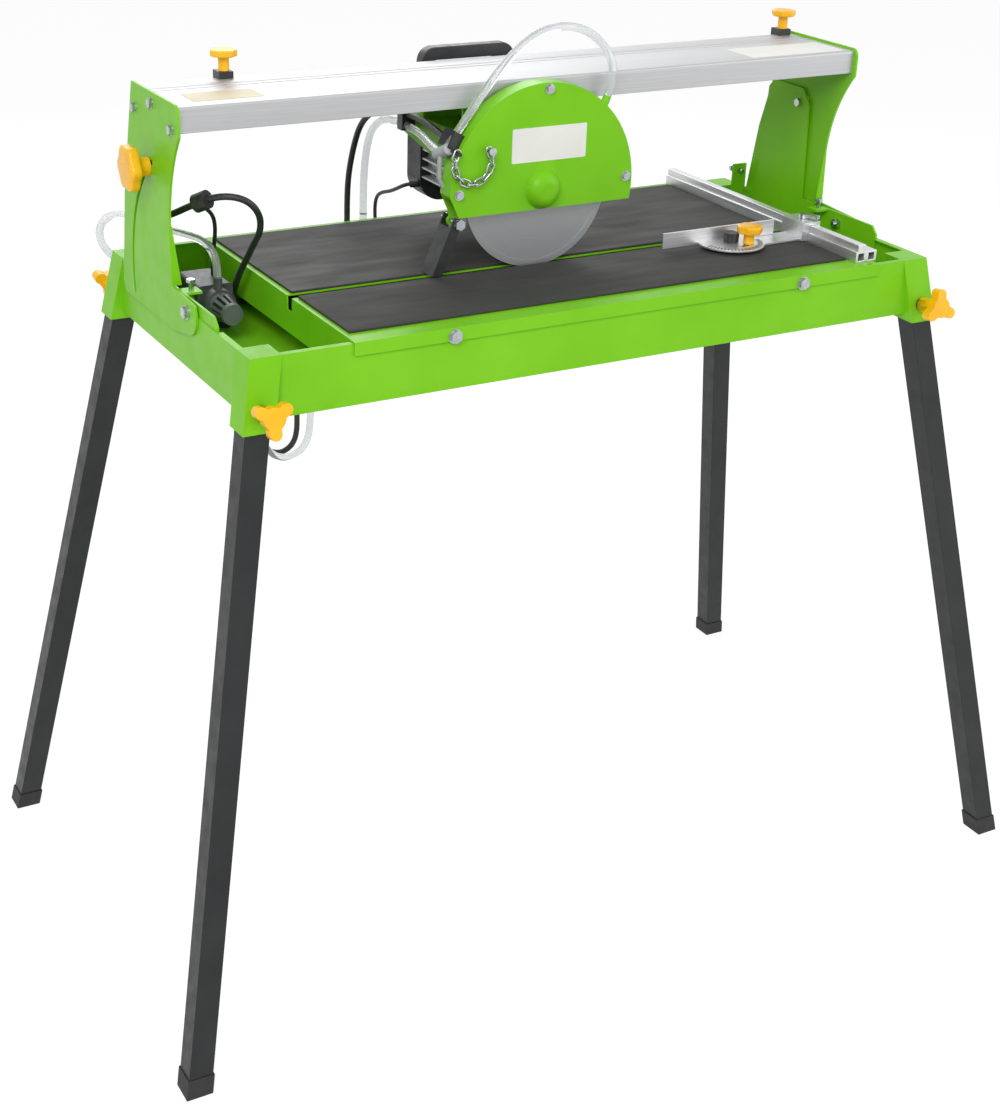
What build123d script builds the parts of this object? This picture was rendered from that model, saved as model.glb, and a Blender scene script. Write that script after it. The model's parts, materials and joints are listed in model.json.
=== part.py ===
"""Bridge type wet tile cutter on four splayed legs.

A steel water tray on legs carries the cutting table, a small pump and two tilt brackets.
A bridge (aluminium rail between two swing plates) tilts on the brackets about the slit of
the table. Under the rail a carriage on rollers carries the motor, the blade and its guard.

Millimetres. X runs along the rail, Y to the back, Z up. The origin is on the floor, in the
middle of the four feet. Lengths are sizes, names that end in X, Y or Z are places.
"""

import math
import os

from build123d import *

os.makedirs("parts", exist_ok=True)

# Water tray
TRAY_WIDTH = 444.0
RIM_Z = 847.0
TRAY_DEPTH = 72.0
TRAY_SHEET = 1.5
RIM_LIP = 8.0

# Legs, their sockets, feet and clamp knobs
SOCKET_SIZE = 38.0
SOCKET_DROP = 82.0
SOCKET_TOP = 2.0
LEG_TUBE = 30.0
LEG_WALL = 1.5
LEG_CLEARANCE = 0.3
SPLAY_X = 0.19
SPLAY_Y = 0.165
FOOT_WALL = 1.5
FOOT_SOLE = 3.0
FOOT_HEIGHT = 24.0
LEG_KNOB_DROP = 59.0
LEG_STUD_RADIUS = 4.0
LEG_KNOB_REACH = 24.0
LEG_KNOB_LOBE = 7.0
LEG_KNOB_THICKNESS = 14.0
LEG_KNOB_HUB = 9.5
LEG_KNOB_CORE = 13.0
LEG_KNOB_STANDOFF = 26.0
LEG_KNOB_WASHER = 3.0
LEG_KNOB_TURNS = {1: 30, -1: 90}

# Fits shared by all pieces
RUNNING_FIT = 0.05
SLIDE_GAP = 0.3
BOLT_RADIUS = 4.0
LOBE_DEPTH = 0.45

# Cutting table with its slit and mats
TABLE_LENGTH = 736.0
PUMP_BAY_LENGTH = 123.0
RIGHT_BAY_LENGTH = 81.0
TABLE_SHEET = 2.0
TABLE_SKIRT = 16.0
SKIRT_GAP = 0.6
TABLE_END_DROP = 43.0
SLIT_Y = -46.0
SLIT_WIDTH = 15.0
NOTCH_WIDTH = 14.0
NOTCH_DEPTH = 17.0
SLIT_END_MARGIN = 32.0
MAT_THICKNESS = 3.0
MAT_SIDE_MARGIN = 7.0
MAT_FRONT_MARGIN = 27.0
MAT_BACK_MARGIN = 16.0
MAT_SLIT_MARGIN = 1.5
MAT_RIGHT_MARGIN = 29.5
TABLE_BOLT_XS = (-222.0, 269.0)
TABLE_BOLT_DROP = 10.5

# Tilt brackets inside the end walls
BRACKET_SHEET = 3.0
BRACKET_FRONT_Y = -125.0
BRACKET_BACK_Y = 176.0
BRACKET_RISE = 15.0
BRACKET_SINK = 50.0
BRACKET_STRIP_BACK_Y = 152.0
BRACKET_POST_FRONT_Y = 36.0
BRACKET_POST_BACK_Y = 141.0
BRACKET_POST_MARGIN = 20.0
EAR_REACH = 20.0
BACK_EAR_Y = 170.0
BACK_EAR_RISE = 34.0
FRONT_EAR_Y = -14.0
FRONT_EAR_WIDTH = 20.0
STOP_SCREW_RADIUS = 3.0
STOP_SCREW_LENGTH = 26.0

# Bridge: swing plates and rail
SWING_SHEET = 3.0
SLOT_RADIUS = 179.0
LOCK_STUD_RADIUS = 3.0
SLOT_CLEARANCE = 0.4
SLOT_START_DEG = -8.0
SLOT_END_DEG = 57.0
STUD_DEG = 53.0
SWING_FOOT_RADIUS = 27.0
SWING_BOTTOM_DROP = 36.0
SWING_BACK_Y = 174.0
SWING_CURVE = (38.0, 138.0)
SWING_WAIST = (48.0, 90.0)
SWING_KNEE = (46.0, 17.5)
SWING_HIP = (22.0, 93.0)
SWING_MARGIN = 3.0
SWING_FLANGE = 9.0
RAIL_FRONT_Y = -35.0
RAIL_DEPTH = 140.0
RAIL_HEIGHT = 29.0
RAIL_RISE = 229.0
RAIL_WALL = 4.0
RAIL_LIP = 14.0
RAIL_LIP_THICKNESS = 3.0
RAIL_EDGE_RADIUS = 3.0
GROOVE_SETBACKS = (38.0, 50.0)
GROOVE_WIDTH = 3.0
GROOVE_DEPTH = 1.2
RAIL_BOLT_PLACES = ((135.0, 3.0), (77.0, 19.0), (15.0, 2.0))
RAIL_BOLT_RADIUS = 3.0

# Tilt lock knobs
TILT_KNOB_RADIUS = 28.0
TILT_KNOB_THICKNESS = 16.0
TILT_KNOB_HUB = 11.0
TILT_KNOB_STEM = 14.0

# Travel stops on the rail
STOP_INSETS = (107.0, 18.0)
STOP_BLOCK_LENGTH = 18.0
STOP_BLOCK_OVER = 15.0
STOP_BLOCK_HEIGHT = 8.0
STOP_BLOCK_BACK = 5.0
STOP_HOOK_DEPTH = 23.0
STOP_HOOK_HEIGHT = 6.0
STOP_KNOB_RADIUS = 16.5
STOP_KNOB_THICKNESS = 9.0
STOP_KNOB_STEM = 6.5
STOP_KNOB_STEM_HEIGHT = 16.0

# Blade, spindle and guard
HEAD_X = -17.0
BLADE_RADIUS = 100.0
BLADE_THICKNESS = 2.2
BLADE_BORE = 12.7
CUT_DEPTH = 5.0
RIM_BAND = 8.0
RIM_BAND_EXTRA = 0.2
FLANGE_RADIUS = 22.0
FLANGE_THICKNESS = 3.6
NUT_HEIGHT = 8.0
NUT_ACROSS = 22.0
SPINDLE_RADIUS = 8.0
GUARD_RADIUS = 128.5
GUARD_SHEET = 2.0
GUARD_BACK_Y = -38.0
GUARD_DEPTH = 25.0
GUARD_BOTTOM_RISE = -24.0
GUARD_NOSE_RISE = 3.0
GUARD_NOSE_RUN = 13.0
DOME_RADIUS = 24.0
DOME_TOP_RADIUS = 8.0
DOME_HEIGHT = 12.5
DOME_BULGE = 5.0
GUARD_BOLT_DEGS = (88.1, 2.4, 178.0)
GUARD_BOLT_INSETS = (7.5, 8.9, 12.4)
GUARD_BOLT_RADIUS = 2.5
GUARD_BOSS_RADIUS = 6.0
PORT_DEG = 47.6
PORT_RISE = 11.5
PORT_LENGTH = 16.0

# Motor
MOTOR_RADIUS = 55.0
MOTOR_WALL = 4.0
MOTOR_LENGTH = 172.0
FIN_HEIGHT = 9.0
FIN_THICKNESS = 2.2
FIN_PITCH = 12.0
FIN_COUNT = 5
FIN_START = 30.0
COVER_LENGTH = 42.0
COVER_HALF_WIDTH = 66.0
COVER_HALF_HEIGHT = 57.0
COVER_WALL = 2.5
STATOR_BORE = 30.0
STATOR_LENGTH = 80.0
STATOR_SETBACK = 58.0
AIR_GAP = 0.6
MOTOR_SHIELD = 12.0
BEARING_RADIUS = 16.0
BEARING_WIDTH = 8.0
MOTOR_PAD_WIDTH = 50.0
MOTOR_PAD_LENGTH = 20.0
MOTOR_PAD_FRONT_INSET = 37.0
MOTOR_PAD_BACK_INSET = 3.0
PAD_SCREW_RADIUS = 3.0

# Carriage under the rail
SADDLE_SHEET = 3.0
SADDLE_HALF_WIDTH = 88.0
SADDLE_LIFT = 6.0
SADDLE_BACK_Y = 150.0
SADDLE_FRONT_DROP = 60.0
SADDLE_BACK_DROP = 26.0
EAR_SHEET = 3.0
EAR_HALF_LENGTH = 88.0
EAR_GAP = 1.0
ROLLER_RADIUS = 10.0
ROLLER_WIDTH = 10.0
ROLLER_SPREAD = 70.0
AXLE_RADIUS = 3.0

# Push handle with its switch lever
HANDLE_X = -22.5
HANDLE_WIDTH = 133.0
HANDLE_BAR = 16.0
HANDLE_BASE = 4.0
HANDLE_Y = 130.0
HANDLE_HEIGHT = 77.0
HANDLE_CORNER = 18.0
LEVER_LENGTH = 40.0
LEVER_THICKNESS = 5.0
LEVER_WIDTH = 8.0
LEVER_LUG = 2.5
LEVER_PIN_RADIUS = 2.0
LEVER_PIN_INSET = 5.0
LEVER_SWING_GAP = 7.0

# Splash flap below the guard
FLAP_PIVOT_INSET = 14.5
FLAP_PIVOT_DROP = 32.0
FLAP_LENGTH = 80.0
FLAP_FLOOR_GAP = 2.0
FLAP_TOP = 6.0
FLAP_WIDTH = 29.0
FLAP_BEHIND = 9.0
FLAP_BEFORE = 4.0
FLAP_WALL_DROP = 8.0
FLAP_SHEET = 2.0
FLAP_LEAN_DEG = 22.6
FLAP_HINGE_RADIUS = 3.0

# Fence rail and angle gauge
FENCE_SETBACK = 11.0
FENCE_WIDTH = 33.0
FENCE_BASE = 14.0
FENCE_CELL = 9.0
FENCE_RIDGE_OFFSET = -8.0
FENCE_RIDGE_WIDTH = 12.0
FENCE_RIDGE_HEIGHT = 9.0
FENCE_FRONT_Y = -211.0
FENCE_BACK_Y = 217.0
GAUGE_REACH = 124.0
GAUGE_Y = -90.0
GAUGE_RADIUS = 44.0
GAUGE_SHEET = 2.5
GAUGE_SLOT_RADIUS = 23.0
GAUGE_SLOT_WIDTH = 7.0
GAUGE_LOCK_DEG = -45.0
GAUGE_STUD_RADIUS = 3.0
GAUGE_FENCE_LEFT = -97.0
GAUGE_FENCE_RIGHT = 78.0
GAUGE_FENCE_HEIGHT = 20.0
GAUGE_FENCE_Y = 13.0
GAUGE_ARM_LIFT = 0.6
GAUGE_ARM_RADIUS = 34.0
GAUGE_ARM_WIDTH = 36.0
CLAMP_LENGTH = 44.0
CLAMP_WALL = 4.0
CLAMP_LEG = 9.0
CLAMP_LEVER_LENGTH = 26.0
CLAMP_LEVER_WIDTH = 8.0
CLAMP_LEVER_RISE = 6.0
GAUGE_CAP_RADIUS = 17.0
GAUGE_CAP_HEIGHT = 11.0
GAUGE_STEM_RADIUS = 7.0
GAUGE_STEM_HEIGHT = 13.0
GAUGE_PIVOT_KNOB_RADIUS = 10.0
GAUGE_PIVOT_KNOB_HEIGHT = 12.0

# Pump in the left end of the tray
PUMP_INSET = 78.0
PUMP_Z = 813.0
STRAINER_FRONT_Y = 18.0
STRAINER_LENGTH = 38.0
STRAINER_FRONT_RADIUS = 13.0
STRAINER_BACK_RADIUS = 17.0
STRAINER_WALL = 2.0
STRAINER_SLITS = 12
PUMP_COLLAR_LENGTH = 18.0
PUMP_COLLAR_RADIUS = 20.0
PUMP_BODY_LENGTH = 66.0
PUMP_BODY_WIDTH = 46.0
PUMP_BODY_HEIGHT = 44.0
PUMP_NOZZLE_RADIUS = 5.5
PUMP_NOZZLE_TOP_Z = 846.0
PUMP_FOOT_RADIUS = 10.0
PUMP_FOOT_SPREAD = 13.0

# Cords
HOSE_DIAMETER = 10.0
CABLE_DIAMETER = 8.0
LEAD_DIAMETER = 5.0
CABLE_TIE_LENGTH = 18.0
CABLE_TIE_RADIUS = 11.0
GROMMET_RADIUS = 10.0
GROMMET_WAIST = 8.0
GROMMET_LENGTH = 12.0
GROMMET_PLACES = ((-250.0, 792.0), (-92.0, 822.0))

# Chain on the guard
CHAIN_WIRE = 2.4
CHAIN_LINK_LENGTH = 17.0
CHAIN_LINK_WIDTH = 10.5
CHAIN_LINKS = 11
CHAIN_INSET = 27.0
CHAIN_RISE = 43.0
CHAIN_RADIUS = 25.0
CHAIN_END_DEG = 25.0
CHAIN_Y = -69.0
CHAIN_PIN_RADIUS = 2.4
CHAIN_PIN_RISE = 3.0

# Clip, strap and tee that hold the hoses
CLIP_DEG = 150.5
CLIP_STANDOFF = 3.6
CLIP_LENGTH = 21.0
CLIP_HEIGHT = 20.0
CLIP_BACK_Y = -30.0
CLIP_FRONT_Y = -56.0
STRAP_Y = 115.0
STRAP_LENGTH = 14.0
STRAP_WIDTH = 18.0
TEE_RADIUS = 7.0
TEE_STANDOFF = 2.5
TEE_RISE = 52.0
JET_PIPE_RADIUS = 3.0

# Places that follow from the sizes above
END_X = (PUMP_BAY_LENGTH + TABLE_LENGTH + RIGHT_BAY_LENGTH) / 2
SIDE_Y = TRAY_WIDTH / 2
FLOOR_Z = RIM_Z - TRAY_DEPTH
TABLE_LEFT_X = PUMP_BAY_LENGTH - END_X
TABLE_RIGHT_X = TABLE_LEFT_X + TABLE_LENGTH
TABLE_TOP_Z = RIM_Z + TABLE_SHEET
MAT_TOP_Z = TABLE_TOP_Z + MAT_THICKNESS
PIVOT_Y = SLIT_Y
PIVOT_Z = RIM_Z
BRACKET_OUT_X = END_X - TRAY_SHEET
BRACKET_IN_X = BRACKET_OUT_X - BRACKET_SHEET
SWING_IN_X = END_X + SLIDE_GAP
SWING_OUT_X = SWING_IN_X + SWING_SHEET
STUD_Y = PIVOT_Y + SLOT_RADIUS * math.cos(math.radians(STUD_DEG))
STUD_Z = PIVOT_Z + SLOT_RADIUS * math.sin(math.radians(STUD_DEG))
BRACKET_POST_TOP_Z = STUD_Z + BRACKET_POST_MARGIN
RAIL_BACK_Y = RAIL_FRONT_Y + RAIL_DEPTH
RAIL_TOP_Z = RIM_Z + RAIL_RISE
RAIL_BOTTOM_Z = RAIL_TOP_Z - RAIL_HEIGHT
BLADE_Z = MAT_TOP_Z - CUT_DEPTH + BLADE_RADIUS
GUARD_FRONT_Y = GUARD_BACK_Y - GUARD_DEPTH
GUARD_BOTTOM_Z = BLADE_Z + GUARD_BOTTOM_RISE
MOTOR_FRONT_Y = GUARD_BACK_Y
MOTOR_BACK_Y = MOTOR_FRONT_Y + MOTOR_LENGTH
MOTOR_PAD_YS = (RAIL_FRONT_Y + MOTOR_PAD_FRONT_INSET, RAIL_BACK_Y - MOTOR_PAD_BACK_INSET)
SADDLE_Z = BLADE_Z + MOTOR_RADIUS + SADDLE_LIFT
SADDLE_TOP_Z = SADDLE_Z + SADDLE_SHEET
HANDLE_TOP_Z = SADDLE_TOP_Z + HANDLE_HEIGHT
LIP_TOP_Z = RAIL_BOTTOM_Z + RAIL_LIP_THICKNESS
ROLLER_Z = LIP_TOP_Z + ROLLER_RADIUS + SLIDE_GAP
STOP_XS = (STOP_INSETS[0] - END_X, END_X - STOP_INSETS[1])
FENCE_X = TABLE_RIGHT_X - FENCE_SETBACK
FENCE_RIDGE_Z = TABLE_TOP_Z + FENCE_BASE
FENCE_TOP_Z = FENCE_RIDGE_Z + FENCE_RIDGE_HEIGHT
GAUGE_PIVOT = (FENCE_X - GAUGE_REACH, GAUGE_Y)
PUMP_X = PUMP_INSET - END_X
CHAIN_X = HEAD_X - GUARD_RADIUS + CHAIN_INSET
CHAIN_Z = BLADE_Z + CHAIN_RISE
TEE_X = HEAD_X - GUARD_RADIUS - TEE_STANDOFF
TEE_Z = BLADE_Z + TEE_RISE
PORT_X = HEAD_X + (GUARD_RADIUS + PORT_RISE) * math.cos(math.radians(PORT_DEG))
PORT_Z = BLADE_Z + (GUARD_RADIUS + PORT_RISE) * math.sin(math.radians(PORT_DEG))
CORNERS = {"front_left": (-1, -1), "front_right": (1, -1), "back_left": (-1, 1), "back_right": (1, 1)}


def save(name, *shapes):
    """Write one node as a group of its separate solids."""
    solids = [solid for shape in shapes for solid in shape.solids()]
    export_step(Compound(solids), f"parts/{name}.step")


def block(x0, x1, y0, y1, z0, z1):
    """Box between two corners, given in any order."""
    middle = Pos((x0 + x1) / 2, (y0 + y1) / 2, (z0 + z1) / 2)
    return middle * Box(abs(x1 - x0), abs(y1 - y0), abs(z1 - z0))


def rod(start, end, radius, end_radius=None):
    """Round bar, or a cone, between two points."""
    start = Vector(*start)
    along = Vector(*end) - start
    place = Plane(origin=start, z_dir=along)
    low = (Align.CENTER, Align.CENTER, Align.MIN)
    if end_radius is None:
        return place * Cylinder(radius, along.length, align=low)
    return place * Cone(radius, end_radius, along.length, align=low)


def hexagon(start, end, across):
    """Hexagon bar between two points, given its size across flats."""
    start = Vector(*start)
    along = Vector(*end) - start
    face = RegularPolygon(across / 2, 6, major_radius=False)
    return extrude(Plane(origin=start, z_dir=along) * face, along.length)


def bolt(seat, out, radius, head_across, head_height, shank):
    """Hexagon bolt: its head stands on the seat along out and its shank goes the other way."""
    seat = Vector(*seat)
    out = Vector(*out).normalized()
    head = hexagon(seat, seat + out * head_height, head_across)
    return head + rod(seat, seat - out * shank, radius)


def slab_yz(face, x0, x1):
    """Face drawn in Y and Z, made solid from x0 to x1."""
    return extrude(Plane.YZ.offset(min(x0, x1)) * face, abs(x1 - x0))


def slab_xz(face, y0, y1):
    """Face drawn in X and Z, made solid from y0 to y1."""
    return extrude(Plane.XZ.offset(-max(y0, y1)) * face, abs(y1 - y0))


def slab_xy(face, z0, z1):
    """Face drawn in X and Y, made solid from z0 to z1."""
    return extrude(Plane.XY.offset(min(z0, z1)) * face, abs(z1 - z0))


def outline(*edges):
    """Face inside a closed chain of edges."""
    return make_face(Wire(edges))


def polygon(*points):
    """Face inside straight sides."""
    return Polygon(*points, align=None)


def arc_slot(centre, radius, start_deg, end_deg, width):
    """Face of a slot that follows an arc about a centre."""
    place = Pos(*centre)
    path = place * CenterArc((0, 0), radius, start_deg, end_deg - start_deg)
    return SlotArc(path, width)


def lobed(radius, lobes, lobe_radius):
    """Face of a star knob: a disc with round lobes on its rim."""
    face = Circle(radius - lobe_radius * LOBE_DEPTH)
    for turn in range(lobes):
        face += Rot(0, 0, turn * 360 / lobes) * Pos(radius - lobe_radius, 0) * Circle(lobe_radius)
    return face


# Legs lean outwards: a level square section moves by the splay as it goes down


def leg_centre(side_x, side_y, z):
    """Middle of a leg at a height."""
    drop = RIM_Z - z
    x = side_x * (END_X - SOCKET_SIZE / 2 + SPLAY_X * drop)
    y = side_y * (SIDE_Y - SOCKET_SIZE / 2 + SPLAY_Y * drop)
    return x, y


def leaning_bar(side_x, side_y, size, z0, z1):
    """Square bar that leans like the leg at this corner."""
    x0, y0 = leg_centre(side_x, side_y, z0)
    x1, y1 = leg_centre(side_x, side_y, z1)
    face = Plane.XY.offset(z0) * Pos(x0, y0) * Rectangle(size, size)
    return Solid.extrude(face.faces()[0], Vector(x1 - x0, y1 - y0, z1 - z0))


def knob_axis(side_y):
    """Square to the sloping outer face of a socket."""
    return Vector(0, side_y, SPLAY_Y).normalized()


def knob_seat(side_x, side_y):
    """Point on the outer face of a socket where the clamp knob goes in."""
    z = RIM_Z - LEG_KNOB_DROP
    x, y = leg_centre(side_x, side_y, z)
    return Vector(x, y + side_y * SOCKET_SIZE / 2, z)


def leg_socket(side_x, side_y):
    """Closed-top pocket at a tray corner, with a hole for its clamp knob."""
    bottom = RIM_Z - SOCKET_DROP
    bar = leaning_bar(side_x, side_y, SOCKET_SIZE, bottom, RIM_Z)
    pocket = leaning_bar(side_x, side_y, LEG_TUBE + 2 * LEG_CLEARANCE, bottom, RIM_Z - SOCKET_TOP)
    seat = knob_seat(side_x, side_y)
    axis = knob_axis(side_y)
    hole = rod(seat + axis * SOCKET_SIZE / 4, seat - axis * SOCKET_SIZE / 2, LEG_STUD_RADIUS + RUNNING_FIT)
    return bar - pocket - hole


def leg(side_x, side_y):
    """Square tube from the sole of its foot cap to the top of its socket."""
    top = RIM_Z - SOCKET_TOP
    tube = leaning_bar(side_x, side_y, LEG_TUBE, FOOT_SOLE, top)
    return tube - leaning_bar(side_x, side_y, LEG_TUBE - 2 * LEG_WALL, FOOT_SOLE, top)


def foot_cap(side_x, side_y):
    """Rubber cup over the lower end of a leg."""
    cup = leaning_bar(side_x, side_y, LEG_TUBE + 2 * FOOT_WALL, 0, FOOT_HEIGHT)
    return cup - leaning_bar(side_x, side_y, LEG_TUBE, FOOT_SOLE, FOOT_HEIGHT)


def leg_knob(side_x, side_y):
    """Three-winged clamp knob on a stud that presses on the leg."""
    seat = knob_seat(side_x, side_y)
    axis = knob_axis(side_y)
    reach = (SOCKET_SIZE - LEG_TUBE) / 2 - LEG_CLEARANCE
    stud = rod(seat - axis * reach, seat + axis * LEG_KNOB_STANDOFF, LEG_STUD_RADIUS)
    wing_face = Circle(LEG_KNOB_CORE)
    first_turn = LEG_KNOB_TURNS[side_x * side_y]
    for turn in (first_turn, first_turn + 120, first_turn + 240):
        wing = Pos(LEG_KNOB_REACH - LEG_KNOB_LOBE, 0) * Circle(LEG_KNOB_LOBE)
        arm = Pos((LEG_KNOB_REACH - LEG_KNOB_LOBE) / 2, 0) * Rectangle(
            LEG_KNOB_REACH - LEG_KNOB_LOBE, 2 * LEG_KNOB_LOBE
        )
        wing_face += Rot(0, 0, turn) * (wing + arm)
    start = Plane(origin=seat + axis * LEG_KNOB_STANDOFF, x_dir=(1, 0, 0), z_dir=axis)
    wings = extrude(start * wing_face, LEG_KNOB_THICKNESS)
    hub = rod(seat + axis * LEG_KNOB_WASHER, seat + axis * LEG_KNOB_STANDOFF, LEG_KNOB_HUB)
    return stud + hub + wings


def water_tray():
    """Folded sheet tray with an inward lip, open at the leg sockets."""
    tray = block(-END_X, END_X, -SIDE_Y, SIDE_Y, FLOOR_Z, RIM_Z)
    inside_x = END_X - TRAY_SHEET
    inside_y = SIDE_Y - TRAY_SHEET
    tray -= block(-inside_x, inside_x, -inside_y, inside_y, FLOOR_Z + TRAY_SHEET, RIM_Z - TRAY_SHEET)
    lip_x = END_X - RIM_LIP
    lip_y = SIDE_Y - RIM_LIP
    tray -= block(-lip_x, lip_x, -lip_y, lip_y, RIM_Z - TRAY_SHEET, RIM_Z)
    for side in (-1, 1):
        tray -= block(
            side * inside_x, side * lip_x, BRACKET_FRONT_Y - 2, BRACKET_BACK_Y + 2, RIM_Z - TRAY_SHEET, RIM_Z
        )
        tray -= rod(
            (side * (inside_x - 1), PIVOT_Y, PIVOT_Z), (side * (END_X + 1), PIVOT_Y, PIVOT_Z), BOLT_RADIUS + 1
        )
    for side_x, side_y in CORNERS.values():
        tray -= leaning_bar(side_x, side_y, SOCKET_SIZE, RIM_Z - SOCKET_DROP, RIM_Z)
    for x in TABLE_BOLT_XS:
        z = TABLE_TOP_Z - TABLE_BOLT_DROP
        tray -= rod((x, -SIDE_Y - 1, z), (x, -inside_y + 1, z), BOLT_RADIUS)
    for x, z in GROMMET_PLACES:
        tray -= rod((x, inside_y - 1, z), (x, SIDE_Y + 1, z), GROMMET_WAIST)
    return tray


def saw_table():
    """Folded sheet top with a front skirt, two end skirts and the slit for the blade."""
    front = -(SIDE_Y + SKIRT_GAP + TABLE_SHEET)
    table = block(TABLE_LEFT_X, TABLE_RIGHT_X, front, SIDE_Y, RIM_Z, TABLE_TOP_Z)
    table += block(
        TABLE_LEFT_X, TABLE_RIGHT_X, front, front + TABLE_SHEET, TABLE_TOP_Z - TABLE_SKIRT, TABLE_TOP_Z
    )
    end_y = SIDE_Y - RIM_LIP - SKIRT_GAP
    for x0, x1 in ((TABLE_LEFT_X, TABLE_LEFT_X + TABLE_SHEET), (TABLE_RIGHT_X - TABLE_SHEET, TABLE_RIGHT_X)):
        table += block(x0, x1, -end_y, end_y, RIM_Z - TABLE_END_DROP, RIM_Z)
    slit_end = TABLE_RIGHT_X - SLIT_END_MARGIN
    half = SLIT_WIDTH / 2
    table -= block(TABLE_LEFT_X - 1, slit_end, SLIT_Y - half, SLIT_Y + half, RIM_Z - 1, TABLE_TOP_Z + 1)
    half = NOTCH_WIDTH / 2
    notch_end = TABLE_LEFT_X + TABLE_SHEET
    table -= block(
        TABLE_LEFT_X - 1, notch_end, SLIT_Y - half, SLIT_Y + half, TABLE_TOP_Z - NOTCH_DEPTH, TABLE_TOP_Z + 1
    )
    for x in TABLE_BOLT_XS:
        z = TABLE_TOP_Z - TABLE_BOLT_DROP
        table -= rod((x, front - 1, z), (x, front + TABLE_SHEET + 1, z), BOLT_RADIUS)
    return table


def table_mats():
    """Rubber mats in front of the slit and behind it."""
    left = TABLE_LEFT_X + MAT_SIDE_MARGIN
    right = TABLE_RIGHT_X - MAT_RIGHT_MARGIN
    edge = SLIT_WIDTH / 2 + MAT_SLIT_MARGIN
    front = block(left, right, MAT_FRONT_MARGIN - SIDE_Y, SLIT_Y - edge, TABLE_TOP_Z, MAT_TOP_Z)
    rear = block(left, right, SLIT_Y + edge, SIDE_Y - MAT_BACK_MARGIN, TABLE_TOP_Z, MAT_TOP_Z)
    return front, rear


def table_bolts():
    """Bolts through the front skirt into the tray wall."""
    z = TABLE_TOP_Z - TABLE_BOLT_DROP
    seat_y = -(SIDE_Y + SKIRT_GAP + TABLE_SHEET)
    shank = TABLE_SHEET + SKIRT_GAP + TRAY_SHEET + 6
    return [bolt((x, seat_y, z), (0, -1, 0), BOLT_RADIUS - RUNNING_FIT, 13, 5, shank) for x in TABLE_BOLT_XS]


# Tilt: a bracket inside each end wall carries the pivot bolt and the lock stud


def tilt_bracket(side):
    """Plate inside an end wall, with a post for the lock stud and two bent ears."""
    strip_top = RIM_Z + BRACKET_RISE
    corner = 10.0
    face = polygon(
        (BRACKET_FRONT_Y, RIM_Z - BRACKET_SINK),
        (BRACKET_BACK_Y, RIM_Z - BRACKET_SINK),
        (BRACKET_BACK_Y, RIM_Z),
        (BRACKET_STRIP_BACK_Y, RIM_Z),
        (BRACKET_STRIP_BACK_Y, strip_top - corner),
        (BRACKET_STRIP_BACK_Y - corner, strip_top),
        (BRACKET_POST_BACK_Y, strip_top),
        (BRACKET_POST_BACK_Y - corner, BRACKET_POST_TOP_Z - corner),
        (BRACKET_POST_BACK_Y - 2 * corner, BRACKET_POST_TOP_Z),
        (BRACKET_POST_FRONT_Y + 2 * corner, BRACKET_POST_TOP_Z),
        (BRACKET_POST_FRONT_Y + corner / 2, BRACKET_POST_TOP_Z - 2 * corner),
        (BRACKET_POST_FRONT_Y, strip_top),
        (BRACKET_FRONT_Y + corner, strip_top),
        (BRACKET_FRONT_Y, strip_top - corner),
    )
    outer = side * BRACKET_OUT_X
    inner = side * BRACKET_IN_X
    plate = slab_yz(face, outer, inner)
    ear_x = side * (BRACKET_IN_X - EAR_REACH)
    ear_sheet = BRACKET_SHEET
    plate += block(
        inner, ear_x, BACK_EAR_Y, BACK_EAR_Y + ear_sheet, RIM_Z - BRACKET_RISE, RIM_Z + BACK_EAR_RISE
    )
    plate += block(outer, inner, BACK_EAR_Y, BACK_EAR_Y + ear_sheet, RIM_Z, RIM_Z + BACK_EAR_RISE)
    half = FRONT_EAR_WIDTH / 2
    plate += block(inner, ear_x, FRONT_EAR_Y - half, FRONT_EAR_Y + half, strip_top - ear_sheet, strip_top)
    plate -= rod((outer * 1.1, PIVOT_Y, PIVOT_Z), (inner * 0.9, PIVOT_Y, PIVOT_Z), BOLT_RADIUS)
    plate -= rod((outer * 1.1, STUD_Y, STUD_Z), (inner * 0.9, STUD_Y, STUD_Z), LOCK_STUD_RADIUS)
    for start, end in stop_screw_lines(side):
        plate -= rod(start, end, STOP_SCREW_RADIUS)
    return plate


def stop_screw_lines(side):
    """Axes of the two adjusting screws of a bracket, from tip to head."""
    x = side * (BRACKET_IN_X - EAR_REACH / 2)
    front_low = RIM_Z + BRACKET_RISE - STOP_SCREW_LENGTH / 2
    back_z = RIM_Z + BACK_EAR_RISE - BRACKET_SHEET * 3
    tip = BACK_EAR_Y - STOP_SCREW_LENGTH / 3
    front = ((x, FRONT_EAR_Y, front_low), (x, FRONT_EAR_Y, front_low + STOP_SCREW_LENGTH))
    back = ((x, tip, back_z), (x, tip + STOP_SCREW_LENGTH, back_z))
    return front, back


def stop_screws():
    """Adjusting screws with hexagon heads and lock nuts in the ears of both brackets."""
    screws = []
    for side in (-1, 1):
        for start, end in stop_screw_lines(side):
            start = Vector(*start)
            end = Vector(*end)
            along = (end - start).normalized()
            head = hexagon(end - along * 4, end, 10)
            screws.append(rod(start, end, STOP_SCREW_RADIUS - RUNNING_FIT) + head)
    return screws


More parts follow.
